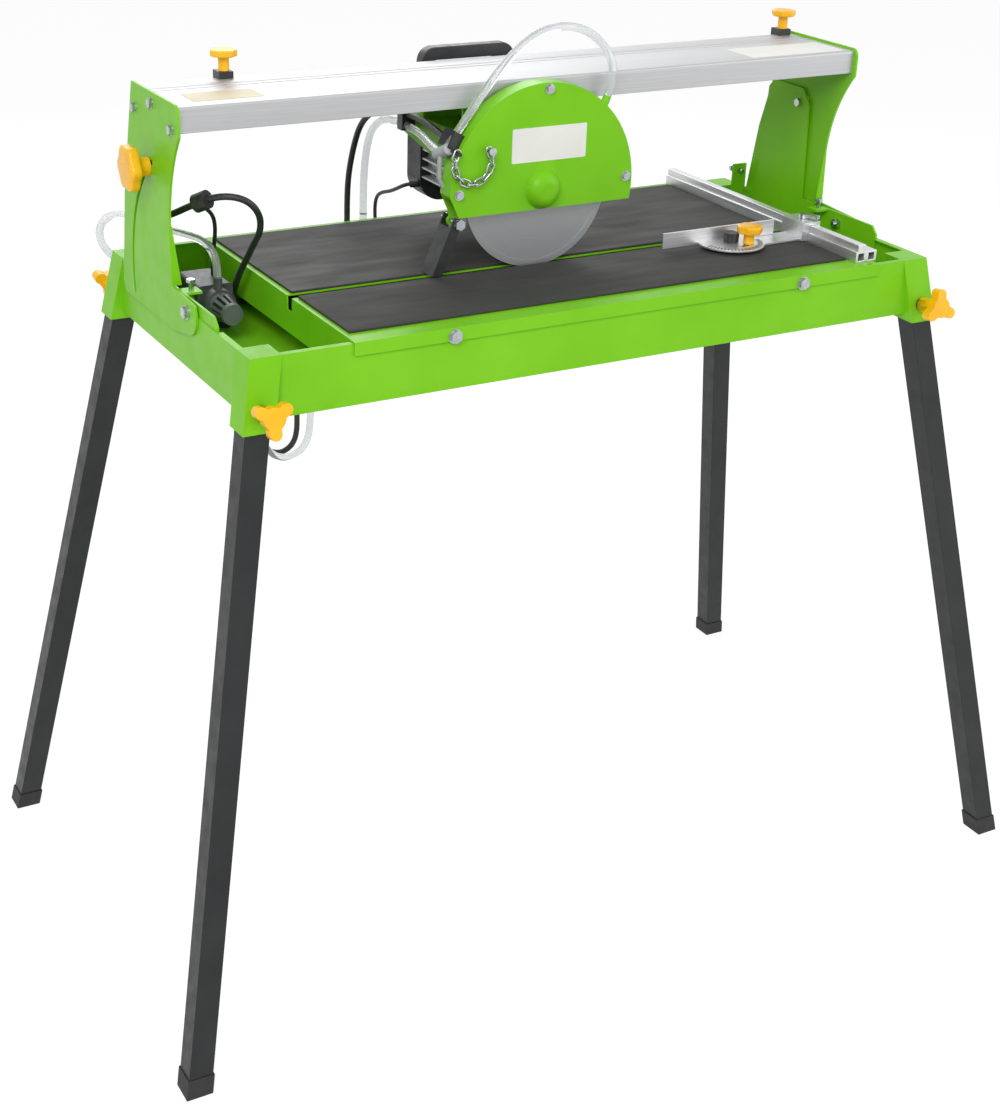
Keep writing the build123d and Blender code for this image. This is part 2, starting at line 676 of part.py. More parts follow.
def pivot_bolts():
    """Bolts on the tilt axis, with the head outside and the nut inside."""
    bolts = []
    for side in (-1, 1):
        head_x = side * (SWING_OUT_X + SLIDE_GAP)
        shank = SWING_OUT_X + SLIDE_GAP - BRACKET_IN_X + 9
        shape = bolt((head_x, PIVOT_Y, PIVOT_Z), (side, 0, 0), BOLT_RADIUS - RUNNING_FIT, 13, 5.5, shank)
        nut_x = side * BRACKET_IN_X
        shape += hexagon((nut_x, PIVOT_Y, PIVOT_Z), (nut_x - side * 6.5, PIVOT_Y, PIVOT_Z), 13)
        bolts.append(shape)
    return bolts


def lock_studs():
    """Studs through the bracket posts and the arc slots, for the lock knobs."""
    studs = []
    for side in (-1, 1):
        inner = side * BRACKET_IN_X
        tip = side * (SWING_OUT_X + TILT_KNOB_STEM)
        stud = rod((inner, STUD_Y, STUD_Z), (tip, STUD_Y, STUD_Z), LOCK_STUD_RADIUS - RUNNING_FIT)
        stud += hexagon((inner, STUD_Y, STUD_Z), (inner - side * 5, STUD_Y, STUD_Z), 10)
        studs.append(stud)
    return studs


def tilt_knob(side):
    """Star knob with a hub, screwed on the lock stud outside the swing plate."""
    start = SWING_OUT_X + SLIDE_GAP
    hub = rod((side * start, STUD_Y, STUD_Z), (side * (start + TILT_KNOB_STEM), STUD_Y, STUD_Z), TILT_KNOB_HUB)
    star = Pos(STUD_Y, STUD_Z) * lobed(TILT_KNOB_RADIUS, 6, TILT_KNOB_RADIUS / 3)
    disc_x = side * (start + TILT_KNOB_STEM)
    knob = hub + slab_yz(star, disc_x, disc_x + side * TILT_KNOB_THICKNESS)
    bore_end = side * (SWING_OUT_X + TILT_KNOB_STEM + SLIDE_GAP)
    return knob - rod((side * (start - 1), STUD_Y, STUD_Z), (bore_end, STUD_Y, STUD_Z), LOCK_STUD_RADIUS)


def swing_plate(side):
    """Upright of the bridge: waisted plate with the arc slot and a tapered front flange."""
    top = RAIL_TOP_Z + SWING_MARGIN
    front = RAIL_FRONT_Y - 2 * SWING_MARGIN
    back = RAIL_BACK_Y + SWING_MARGIN
    shoulder_z = RAIL_BOTTOM_Z - SWING_MARGIN
    curve = (PIVOT_Y + SWING_CURVE[0], PIVOT_Z + SWING_CURVE[1])
    waist = (PIVOT_Y + SWING_WAIST[0], PIVOT_Z + SWING_WAIST[1])
    knee = (PIVOT_Y + SWING_KNEE[0], PIVOT_Z + SWING_KNEE[1])
    hip = (SWING_BACK_Y - SWING_HIP[0], PIVOT_Z + SWING_HIP[1])
    foot_deg = 150
    foot_start = foot_point(foot_deg)
    foot_middle = foot_point((foot_deg + 270) / 2)
    foot_end = foot_point(270)
    bottom_z = PIVOT_Z - SWING_BOTTOM_DROP
    corner = 10.0
    face = outline(
        Line((back, top), (front + corner, top)),
        ThreePointArc((front + corner, top), (front + corner * 0.3, top - corner * 0.3), (front, top - corner)),
        Line((front, top - corner), (front, shoulder_z)),
        ThreePointArc((front, shoulder_z), curve, waist),
        Line(waist, knee),
        Line(knee, foot_start),
        ThreePointArc(foot_start, foot_middle, foot_end),
        Line(foot_end, (waist[0], bottom_z)),
        Line((waist[0], bottom_z), (SWING_BACK_Y - corner, bottom_z)),
        Line((SWING_BACK_Y - corner, bottom_z), (SWING_BACK_Y, bottom_z + corner)),
        Line((SWING_BACK_Y, bottom_z + corner), hip),
        Line(hip, (back, top)),
    )
    slot_width = 2 * LOCK_STUD_RADIUS + SLOT_CLEARANCE
    face -= arc_slot((PIVOT_Y, PIVOT_Z), SLOT_RADIUS, SLOT_START_DEG, SLOT_END_DEG, slot_width)
    face -= Pos(PIVOT_Y, PIVOT_Z) * Circle(BOLT_RADIUS)
    for y, z in rail_bolt_points():
        face -= Pos(y, z) * Circle(RAIL_BOLT_RADIUS)
    plate = slab_yz(face, side * SWING_IN_X, side * SWING_OUT_X)
    inner = side * SWING_IN_X
    corners = ((inner, *waist), (inner, *knee), (inner - side * SWING_FLANGE, *knee))
    flange = Face(Wire.make_polygon(corners, close=True))
    return plate + Solid.extrude(flange, Vector(0, SWING_SHEET, 0))


def rail_bolt_points():
    """Y and Z of the bolts at an end of the rail."""
    return [(RAIL_FRONT_Y + y, RAIL_BOTTOM_Z + z) for y, z in RAIL_BOLT_PLACES]


def foot_point(degrees):
    """Point on the round foot of a swing plate."""
    turn = math.radians(degrees)
    return PIVOT_Y + SWING_FOOT_RADIUS * math.cos(turn), PIVOT_Z + SWING_FOOT_RADIUS * math.sin(turn)


def bridge_rail():
    """Extruded channel, open below between two lips that the rollers run on."""
    depth_middle = (RAIL_FRONT_Y + RAIL_BACK_Y) / 2
    face = Pos(depth_middle, RAIL_BOTTOM_Z + RAIL_HEIGHT / 2) * Rectangle(RAIL_DEPTH, RAIL_HEIGHT)
    face = fillet(face.vertices().sort_by(Axis.Y)[-2:], RAIL_EDGE_RADIUS)
    cavity_height = RAIL_HEIGHT - RAIL_WALL - RAIL_LIP_THICKNESS
    face -= Pos(depth_middle, LIP_TOP_Z + cavity_height / 2) * Rectangle(
        RAIL_DEPTH - 2 * RAIL_WALL, cavity_height
    )
    face -= Pos(depth_middle, RAIL_BOTTOM_Z) * Rectangle(
        RAIL_DEPTH - 2 * RAIL_WALL - 2 * RAIL_LIP, 3 * RAIL_LIP_THICKNESS
    )
    for setback in GROOVE_SETBACKS:
        face -= Pos(RAIL_BACK_Y - setback, RAIL_TOP_Z) * Rectangle(GROOVE_WIDTH, 2 * GROOVE_DEPTH)
    return slab_yz(face, -SWING_IN_X, SWING_IN_X)


def rail_bolts():
    """Bolts that hold the rail between the swing plates."""
    bolts = []
    for side in (-1, 1):
        for y, z in rail_bolt_points():
            seat = (side * SWING_OUT_X, y, z)
            bolts.append(bolt(seat, (side, 0, 0), RAIL_BOLT_RADIUS - RUNNING_FIT, 10, 4.5, SWING_SHEET))
    return bolts


# Travel stops clamped on the back edge of the rail


def rail_stop(x):
    """Block that hooks round the back edge of the rail."""
    half = STOP_BLOCK_LENGTH / 2
    low = RAIL_TOP_Z + SLIDE_GAP
    back = RAIL_BACK_Y + SLIDE_GAP
    hook_z = RAIL_BOTTOM_Z - SLIDE_GAP
    stop = block(
        x - half, x + half, RAIL_BACK_Y - STOP_BLOCK_OVER, back + STOP_BLOCK_BACK, low, low + STOP_BLOCK_HEIGHT
    )
    stop += block(x - half, x + half, back, back + STOP_BLOCK_BACK, hook_z - STOP_HOOK_HEIGHT, low)
    stop += block(x - half, x + half, back - STOP_HOOK_DEPTH, back, hook_z - STOP_HOOK_HEIGHT, hook_z)
    y = RAIL_BACK_Y - STOP_BLOCK_OVER / 2
    return stop - rod((x, y, low - 1), (x, y, low + STOP_BLOCK_HEIGHT + 1), BOLT_RADIUS)


def stop_knob(x):
    """Star knob on a screw that presses on the rail."""
    y = RAIL_BACK_Y - STOP_BLOCK_OVER / 2
    block_top = RAIL_TOP_Z + SLIDE_GAP + STOP_BLOCK_HEIGHT
    stem_low = block_top + SLIDE_GAP
    stem_top = stem_low + STOP_KNOB_STEM_HEIGHT
    knob = rod((x, y, RAIL_TOP_Z + SLIDE_GAP), (x, y, stem_low), BOLT_RADIUS - RUNNING_FIT)
    knob += rod((x, y, stem_low), (x, y, stem_top), STOP_KNOB_STEM)
    star = Pos(x, y) * lobed(STOP_KNOB_RADIUS, 7, STOP_KNOB_RADIUS / 4)
    return knob + slab_xy(star, stem_top, stem_top + STOP_KNOB_THICKNESS)


# Carriage under the rail


def roller_places():
    """Middle of each roller, with the outward direction of its axle."""
    inset = RAIL_WALL + RAIL_LIP / 2
    for spread in (-ROLLER_SPREAD, ROLLER_SPREAD):
        yield HEAD_X + spread, RAIL_FRONT_Y + inset, -1
        yield HEAD_X + spread, RAIL_BACK_Y - inset, 1


def ear_band(out):
    """Y range of the upright ear of the carriage on the front (-1) or back (1) side."""
    lip_edge = RAIL_FRONT_Y + RAIL_WALL + RAIL_LIP if out < 0 else RAIL_BACK_Y - RAIL_WALL - RAIL_LIP
    near = lip_edge - out * EAR_GAP
    return near, near - out * EAR_SHEET


def carriage():
    """Folded saddle over the motor, with two upright ears for the rollers."""
    front_y = GUARD_BACK_Y + 2
    left = HEAD_X - SADDLE_HALF_WIDTH
    right = HEAD_X + SADDLE_HALF_WIDTH
    saddle = block(left, right, front_y, SADDLE_BACK_Y, SADDLE_Z, SADDLE_TOP_Z)
    side_face = polygon(
        (front_y, SADDLE_TOP_Z),
        (front_y, SADDLE_TOP_Z - SADDLE_FRONT_DROP),
        (SADDLE_BACK_Y, SADDLE_TOP_Z - SADDLE_BACK_DROP),
        (SADDLE_BACK_Y, SADDLE_TOP_Z),
    )
    saddle += slab_yz(side_face, left, left + SADDLE_SHEET)
    saddle += slab_yz(side_face, right - SADDLE_SHEET, right)
    ear_top = ROLLER_Z + 2 * AXLE_RADIUS
    for out in (-1, 1):
        near, far = ear_band(out)
        saddle += block(
            HEAD_X - EAR_HALF_LENGTH, HEAD_X + EAR_HALF_LENGTH, near, far, SADDLE_Z, ear_top
        )
    for x, y, out in roller_places():
        near, far = ear_band(out)
        saddle -= rod((x, near + out, ROLLER_Z), (x, far - out, ROLLER_Z), AXLE_RADIUS)
    for x, y in pad_screw_places():
        saddle -= rod((x, y, SADDLE_Z - 1), (x, y, SADDLE_TOP_Z + 1), PAD_SCREW_RADIUS)
    return saddle


def roller_axles():
    """Shouldered axle bolts of the rollers, with heads on the inside of the ears."""
    axles = []
    for x, y, out in roller_places():
        near, far = ear_band(out)
        tip = y + out * (ROLLER_WIDTH / 2 + 1)
        axle = rod((x, far, ROLLER_Z), (x, tip, ROLLER_Z), AXLE_RADIUS - RUNNING_FIT)
        axles.append(axle + hexagon((x, far, ROLLER_Z), (x, far - out * 4, ROLLER_Z), 10))
    return axles


def rollers(side):
    """The front and back roller at one end of the carriage."""
    pair = []
    for x, y, out in roller_places():
        if (x - HEAD_X) * side > 0:
            ends = ((x, y - ROLLER_WIDTH / 2, ROLLER_Z), (x, y + ROLLER_WIDTH / 2, ROLLER_Z))
            pair.append(rod(*ends, ROLLER_RADIUS) - rod(*ends, AXLE_RADIUS))
    return pair


# Motor


def on_axis(y):
    """Point on the spindle axis."""
    return HEAD_X, y, BLADE_Z


def pad_screw_places():
    """Screws that hold the motor pads under the saddle."""
    for y in MOTOR_PAD_YS:
        for side in (-1, 1):
            yield HEAD_X + side * MOTOR_PAD_WIDTH / 3, y


def motor_housing():
    """Finned tube with a front shield and pads for the saddle, open at the back."""
    bore = MOTOR_RADIUS - MOTOR_WALL
    housing = rod(on_axis(MOTOR_FRONT_Y), on_axis(MOTOR_BACK_Y), MOTOR_RADIUS)
    reach = MOTOR_RADIUS + FIN_HEIGHT
    for number in range(FIN_COUNT):
        z = BLADE_Z + (number - (FIN_COUNT - 1) / 2) * FIN_PITCH
        housing += block(
            HEAD_X - reach,
            HEAD_X + reach,
            MOTOR_FRONT_Y + FIN_START,
            MOTOR_BACK_Y,
            z - FIN_THICKNESS / 2,
            z + FIN_THICKNESS / 2,
        )
    for y in MOTOR_PAD_YS:
        half = MOTOR_PAD_LENGTH / 2
        housing += block(
            HEAD_X - MOTOR_PAD_WIDTH / 2, HEAD_X + MOTOR_PAD_WIDTH / 2, y - half, y + half, BLADE_Z, SADDLE_Z
        )
    housing -= rod(on_axis(MOTOR_FRONT_Y + MOTOR_SHIELD), on_axis(MOTOR_BACK_Y), bore)
    seat_y = MOTOR_FRONT_Y + MOTOR_SHIELD - BEARING_WIDTH
    housing -= rod(on_axis(seat_y), on_axis(MOTOR_FRONT_Y + MOTOR_SHIELD), BEARING_RADIUS)
    housing -= rod(on_axis(MOTOR_FRONT_Y), on_axis(seat_y), SPINDLE_RADIUS + 2)
    for x, y in pad_screw_places():
        housing -= rod((x, y, SADDLE_Z - 10), (x, y, SADDLE_Z), PAD_SCREW_RADIUS)
    return housing


def motor_end_cover(lead):
    """Rounded plastic cover with the rear bearing seat in its front wall and a gland for the lead."""
    wall = COVER_WALL
    outer = Pos(HEAD_X, BLADE_Z) * RectangleRounded(2 * COVER_HALF_WIDTH, 2 * COVER_HALF_HEIGHT, 30)
    inner = Pos(HEAD_X, BLADE_Z) * RectangleRounded(
        2 * COVER_HALF_WIDTH - 2 * wall, 2 * COVER_HALF_HEIGHT - 2 * wall, 30 - wall
    )
    back = MOTOR_BACK_Y + COVER_LENGTH
    cover = slab_xz(outer, MOTOR_BACK_Y, back)
    cover -= slab_xz(inner, MOTOR_BACK_Y + BEARING_WIDTH, back - wall)
    cover -= rod(on_axis(MOTOR_BACK_Y - 1), on_axis(MOTOR_BACK_Y + BEARING_WIDTH + 1), BEARING_RADIUS)
    for row in range(-2, 3):
        slot = Pos(HEAD_X, BLADE_Z + row * 14) * SlotOverall(60, 5)
        cover -= slab_xz(slot, back - wall - 1, back + 1)
    end = Vector(*MOTOR_LEAD_ROUTE[-1])
    out = (Vector(*MOTOR_LEAD_ROUTE[-2]) - end).normalized()
    cover += rod(end - out * wall, end + out * 2 * LEAD_DIAMETER, LEAD_DIAMETER)
    return cover - lead


def stator():
    """Wound iron ring pressed into the housing."""
    y0 = MOTOR_FRONT_Y + STATOR_SETBACK
    outer = MOTOR_RADIUS - MOTOR_WALL - RUNNING_FIT
    return rod(on_axis(y0), on_axis(y0 + STATOR_LENGTH), outer) - rod(
        on_axis(y0), on_axis(y0 + STATOR_LENGTH), STATOR_BORE
    )


def bearings():
    """Ball bearings of the spindle, in the front shield and in the end cover."""
    front = MOTOR_FRONT_Y + MOTOR_SHIELD - BEARING_WIDTH
    rings = []
    for y in (front, MOTOR_BACK_Y):
        ends = (on_axis(y), on_axis(y + BEARING_WIDTH))
        rings.append(rod(*ends, BEARING_RADIUS - RUNNING_FIT) - rod(*ends, SPINDLE_RADIUS + RUNNING_FIT))
    return rings


def armature():
    """Spindle with the rotor stack on it."""
    y0 = MOTOR_FRONT_Y + STATOR_SETBACK
    tip = SLIT_Y - BLADE_THICKNESS / 2 - FLANGE_THICKNESS - NUT_HEIGHT - 1
    shaft = rod(on_axis(tip), on_axis(MOTOR_BACK_Y + BEARING_WIDTH + 6), SPINDLE_RADIUS)
    return shaft + rod(on_axis(y0), on_axis(y0 + STATOR_LENGTH), STATOR_BORE - AIR_GAP)


def pad_screws():
    """Screws from the saddle into the motor pads."""
    return [
        bolt((x, y, SADDLE_TOP_Z), (0, 0, 1), PAD_SCREW_RADIUS - RUNNING_FIT, 10, 4, SADDLE_SHEET + 9)
        for x, y in pad_screw_places()
    ]


# Blade and guard


def saw_blade():
    """Continuous rim blade: thin steel core with a slightly thicker rim band."""
    half = BLADE_THICKNESS / 2
    core = rod(on_axis(SLIT_Y - half), on_axis(SLIT_Y + half), BLADE_RADIUS - RIM_BAND)
    wide = half + RIM_BAND_EXTRA
    band = rod(on_axis(SLIT_Y - wide), on_axis(SLIT_Y + wide), BLADE_RADIUS)
    band -= rod(on_axis(SLIT_Y - wide), on_axis(SLIT_Y + wide), BLADE_RADIUS - RIM_BAND)
    return core + band - rod(on_axis(SLIT_Y - wide), on_axis(SLIT_Y + wide), BLADE_BORE)


def blade_flanges():
    """Inner flange with the hub that centres the blade, and the outer flange."""
    half = BLADE_THICKNESS / 2
    shaft = rod(on_axis(SLIT_Y - 30), on_axis(SLIT_Y + 30), SPINDLE_RADIUS)
    inner = rod(on_axis(SLIT_Y + half), on_axis(SLIT_Y + half + FLANGE_THICKNESS), FLANGE_RADIUS)
    inner += rod(on_axis(SLIT_Y - half), on_axis(SLIT_Y + half), BLADE_BORE - RUNNING_FIT)
    outer = rod(on_axis(SLIT_Y - half - FLANGE_THICKNESS), on_axis(SLIT_Y - half), FLANGE_RADIUS)
    return inner - shaft, outer - shaft


def blade_nut():
    """Hexagon nut on the end of the spindle."""
    y = SLIT_Y - BLADE_THICKNESS / 2 - FLANGE_THICKNESS
    nut = hexagon(on_axis(y), on_axis(y - NUT_HEIGHT), NUT_ACROSS)
    return nut - rod(on_axis(y + 1), on_axis(y - NUT_HEIGHT - 1), SPINDLE_RADIUS)


def guard_face(radius):
    """Front view of the guard: a disc cut flat below, with a slanted nose on the left."""
    face = Pos(HEAD_X, BLADE_Z) * Circle(radius)
    low = Pos(HEAD_X, GUARD_BOTTOM_Z - radius) * Rectangle(3 * radius, 2 * radius)
    nose_x = HEAD_X - GUARD_RADIUS
    nose = polygon(
        (nose_x - 20, BLADE_Z + GUARD_NOSE_RISE),
        (nose_x, BLADE_Z + GUARD_NOSE_RISE),
        (nose_x + GUARD_NOSE_RUN, GUARD_BOTTOM_Z),
        (nose_x + GUARD_NOSE_RUN, GUARD_BOTTOM_Z - 5),
        (nose_x - 20, GUARD_BOTTOM_Z - 5),
    )
    return face - low - nose


def guard_bolt_points():
    """X and Z of the bolts through the guard cover."""
    points = []
    for degrees, inset in zip(GUARD_BOLT_DEGS, GUARD_BOLT_INSETS):
        turn = math.radians(degrees)
        reach = GUARD_RADIUS - inset
        points.append((HEAD_X + reach * math.cos(turn), BLADE_Z + reach * math.sin(turn)))
    return points


def flap_pivot():
    """X and Z of the flap's hinge bolt."""
    return HEAD_X - GUARD_RADIUS + FLAP_PIVOT_INSET, BLADE_Z - FLAP_PIVOT_DROP


def guard_shell():
    """Back plate and rim of the guard, with bolt bosses, the hose nipple and the flap's lug."""
    inner_back = GUARD_BACK_Y - GUARD_SHEET
    inner_front = GUARD_FRONT_Y + GUARD_SHEET
    shell = slab_xz(guard_face(GUARD_RADIUS), inner_back, GUARD_BACK_Y)
    x, z = flap_pivot()
    lug = Pos(x, z) * Circle(2 * FLAP_HINGE_RADIUS)
    lug += polygon(
        (x - FLAP_HINGE_RADIUS, z + 1.6 * FLAP_HINGE_RADIUS),
        (x, z - 2 * FLAP_HINGE_RADIUS),
        (HEAD_X - GUARD_RADIUS + 2 * GUARD_NOSE_RUN, GUARD_BOTTOM_Z + 2),
        (HEAD_X - GUARD_RADIUS + GUARD_NOSE_RUN, BLADE_Z),
    )
    shell += slab_xz(lug, inner_back, GUARD_BACK_Y)
    rim = guard_face(GUARD_RADIUS) - Pos(HEAD_X, BLADE_Z) * Circle(GUARD_RADIUS - GUARD_SHEET)
    shell += slab_xz(rim, inner_front, inner_back)
    tip = Vector(*GUARD_HOSE_ROUTE[-1])
    out = (Vector(*GUARD_HOSE_ROUTE[-2]) - tip).normalized()
    inside = rod(on_axis(inner_front - 1), on_axis(inner_back), GUARD_RADIUS - GUARD_SHEET)
    shell += rod(tip - out * PORT_LENGTH, tip, HOSE_DIAMETER / 2) - inside
    for bolt_x, bolt_z in guard_bolt_points():
        shell += rod((bolt_x, inner_front, bolt_z), (bolt_x, inner_back, bolt_z), GUARD_BOSS_RADIUS)
        shell -= rod((bolt_x, inner_front, bolt_z), (bolt_x, inner_back + 5, bolt_z), GUARD_BOLT_RADIUS)
    shell -= rod(on_axis(inner_back - 1), on_axis(GUARD_BACK_Y + 1), SPINDLE_RADIUS + 2)
    return shell - rod((x, inner_back - 1, z), (x, GUARD_BACK_Y + 1, z), FLAP_HINGE_RADIUS)


def dome(base_y, radius, top_radius):
    """Pressed dome with round flanks and a flat top, on the spindle line."""
    face = outline(
        Line((0, 0), (radius, 0)),
        Bezier((radius, 0), (radius - DOME_BULGE, -DOME_HEIGHT), (top_radius, -DOME_HEIGHT)),
        Line((top_radius, -DOME_HEIGHT), (0, -DOME_HEIGHT)),
        Line((0, -DOME_HEIGHT), (0, 0)),
    )
    return Pos(HEAD_X, base_y, BLADE_Z) * revolve(face, Axis.Y)


def guard_cover():
    """Front plate of the guard with a hollow dome over the spindle nut."""
    inner = GUARD_FRONT_Y + GUARD_SHEET
    cover = slab_xz(guard_face(GUARD_RADIUS), GUARD_FRONT_Y, inner)
    cover += dome(GUARD_FRONT_Y, DOME_RADIUS, DOME_TOP_RADIUS)
    cover -= dome(inner, DOME_RADIUS - GUARD_SHEET, DOME_TOP_RADIUS - GUARD_SHEET)
    for x, z in guard_bolt_points():
        cover -= rod((x, GUARD_FRONT_Y - 1, z), (x, inner + 1, z), GUARD_BOLT_RADIUS)
    x, z = chain_pin(1)
    return cover - rod((x, GUARD_FRONT_Y - 1, z), (x, inner + 1, z), CHAIN_PIN_RADIUS)


def guard_bolts():
    """Screws through the guard cover."""
    screws = []
    for x, z in guard_bolt_points():
        seat = (x, GUARD_FRONT_Y, z)
        screws.append(bolt(seat, (0, -1, 0), GUARD_BOLT_RADIUS - RUNNING_FIT, 9, 4, GUARD_SHEET + 14))
    return screws


def flap_hinge():
    """Hinge bolt of the flap with a nut at its back end."""
    x, z = flap_pivot()
    half = FLAP_WIDTH / 2 + SLIDE_GAP
    front = SLIT_Y - half
    back = SLIT_Y + half
    shape = rod((x, front, z), (x, back + 5, z), FLAP_HINGE_RADIUS - RUNNING_FIT)
    shape += hexagon((x, front, z), (x, front - 5, z), 12)
    return shape + hexagon((x, back, z), (x, back + 5, z), 12)


def splash_flap():
    """Sheet channel that hangs on the hinge bolt, open towards the blade and cut level above the mat."""
    half = FLAP_WIDTH / 2
    flap = block(-FLAP_BEHIND, FLAP_BEFORE, -half, half, -FLAP_LENGTH, FLAP_TOP)
    flap -= block(
        -FLAP_BEHIND + FLAP_SHEET, FLAP_BEFORE, FLAP_SHEET - half, half - FLAP_SHEET, -FLAP_LENGTH, FLAP_TOP
    )
    flap -= block(-FLAP_BEHIND, FLAP_BEFORE, FLAP_SHEET - half, half - FLAP_SHEET, -FLAP_WALL_DROP, FLAP_TOP)
    flap -= rod((0, -half - 1, 0), (0, half + 1, 0), FLAP_HINGE_RADIUS)
    x, z = flap_pivot()
    flap = Pos(x, SLIT_Y, z) * Rot(0, FLAP_LEAN_DEG, 0) * flap
    low = MAT_TOP_Z + FLAP_FLOOR_GAP
    return flap - block(x - FLAP_LENGTH, x + FLAP_LENGTH, SLIT_Y - half, SLIT_Y + half, low - FLAP_LENGTH, low)


# Chain on the front of the guard


def chain_turn(number):
    """Angle of a link on the arc that the chain hangs in."""
    start = 180 - CHAIN_END_DEG
    return start + (180 + 2 * CHAIN_END_DEG) * number / (CHAIN_LINKS - 1)


def chain_pin(side):
    """X and Z of the pin at the left (-1) or right (1) end of the chain."""
    turn = math.radians(CHAIN_END_DEG)
    across = CHAIN_RADIUS * math.cos(turn) - CHAIN_PIN_RISE * math.sin(turn)
    rise = CHAIN_RADIUS * math.sin(turn) + CHAIN_PIN_RISE * math.cos(turn)
    return CHAIN_X + side * across, CHAIN_Z + rise


def guard_chain():
    """Short chain of flat-wire links, each turned a quarter from the last."""
    face = SlotOverall(CHAIN_LINK_LENGTH, CHAIN_LINK_WIDTH)
    face -= SlotOverall(CHAIN_LINK_LENGTH - 2 * CHAIN_WIRE, CHAIN_LINK_WIDTH - 2 * CHAIN_WIRE)
    link = Pos(0, 0, -CHAIN_WIRE / 2) * extrude(face, CHAIN_WIRE)
    middle = Vector(CHAIN_X, CHAIN_Y, CHAIN_Z)
    links = []
    for number in range(CHAIN_LINKS):
        turn = math.radians(chain_turn(number))
        away = Vector(math.cos(turn), 0, math.sin(turn))
        along = Vector(-math.sin(turn), 0, math.cos(turn))
        flat = Vector(0, 1, 0) if number % 2 == 0 else away
        links.append(Plane(origin=middle + away * CHAIN_RADIUS, x_dir=along, z_dir=flat) * link)
    return links


def chain_bolt():
    """Screw on the guard cover that holds the right end of the chain."""
    x, z = chain_pin(1)
    tip = CHAIN_Y - 3 * CHAIN_WIRE
    screw = rod((x, GUARD_FRONT_Y + GUARD_SHEET, z), (x, tip, z), CHAIN_PIN_RADIUS - RUNNING_FIT)
    return screw + rod((x, tip, z), (x, tip - 3, z), 2 * CHAIN_PIN_RADIUS)


# Push handle


def lever_pin():
    """X and Z of the pin of the switch lever."""
    x = HANDLE_X + HANDLE_WIDTH / 2 - HANDLE_BAR - LEVER_PIN_INSET
    return x, HANDLE_TOP_Z - HANDLE_BAR - LEVER_SWING_GAP


def head_handle():
    """Moulded bail on the back of the saddle, with two lugs and a pin for the switch lever."""
    outer = Pos(HANDLE_X, SADDLE_TOP_Z + HANDLE_HEIGHT / 2) * Rectangle(HANDLE_WIDTH, HANDLE_HEIGHT)
    outer = fillet(outer.vertices().sort_by(Axis.Y)[-2:], HANDLE_CORNER)
    gap = HANDLE_HEIGHT - HANDLE_BAR - HANDLE_BASE
    inner = Pos(HANDLE_X, SADDLE_TOP_Z + HANDLE_BASE + gap / 2) * Rectangle(HANDLE_WIDTH - 2 * HANDLE_BAR, gap)
    inner = fillet(inner.vertices().sort_by(Axis.Y)[-2:], HANDLE_CORNER / 3)
    handle = slab_xz(outer - inner, HANDLE_Y - HANDLE_BAR / 2, HANDLE_Y + HANDLE_BAR / 2)
    x, z = lever_pin()
    for side in (-1, 1):
        near = HANDLE_Y + side * (LEVER_WIDTH / 2 + SLIDE_GAP)
        handle += block(
            x - LEVER_PIN_INSET,
            x + LEVER_PIN_INSET,
            near,
            near + side * LEVER_LUG,
            z - LEVER_PIN_INSET,
            HANDLE_TOP_Z - HANDLE_BAR,
        )
    half = LEVER_WIDTH / 2 + SLIDE_GAP + LEVER_LUG
    return handle + rod((x, HANDLE_Y - half, z), (x, HANDLE_Y + half, z), LEVER_PIN_RADIUS)


def switch_lever():
    """Lever under the grip that turns on its pin."""
    x, z = lever_pin()
    half = LEVER_WIDTH / 2
    lever = block(
        x - LEVER_LENGTH, x, HANDLE_Y - half, HANDLE_Y + half, z - LEVER_THICKNESS / 2, z + LEVER_THICKNESS / 2
    )
    eye_radius = LEVER_PIN_RADIUS + 2
    lever += rod((x, HANDLE_Y - half, z), (x, HANDLE_Y + half, z), eye_radius)
    return lever - rod(
        (x, HANDLE_Y - half - 1, z), (x, HANDLE_Y + half + 1, z), LEVER_PIN_RADIUS + RUNNING_FIT
    )


# Fence rail and angle gauge


def fence_rail():
    """Extruded bar across the right end of the table, with a ridge and two hollow cells."""
    face = Pos(FENCE_X, TABLE_TOP_Z + FENCE_BASE / 2) * Rectangle(FENCE_WIDTH, FENCE_BASE)
    face += Pos(FENCE_X + FENCE_RIDGE_OFFSET, FENCE_RIDGE_Z + FENCE_RIDGE_HEIGHT / 2) * Rectangle(
        FENCE_RIDGE_WIDTH, FENCE_RIDGE_HEIGHT
    )
    for offset in (-FENCE_WIDTH / 4, FENCE_WIDTH / 4):
        face -= Pos(FENCE_X + offset, TABLE_TOP_Z + FENCE_BASE / 2) * Rectangle(FENCE_CELL, FENCE_CELL)
    return slab_xz(face, FENCE_FRONT_Y, FENCE_BACK_Y)


def gauge_stud():
    """X and Y of the lock stud of the gauge."""
    turn = math.radians(GAUGE_LOCK_DEG)
    x, y = GAUGE_PIVOT
    return x + GAUGE_SLOT_RADIUS * math.cos(turn), y + GAUGE_SLOT_RADIUS * math.sin(turn)


def gauge_plate_z():
    """Underside of the protractor plate, just above the arm."""
    return MAT_TOP_Z + GAUGE_ARM_LIFT + GAUGE_SHEET + SLIDE_GAP


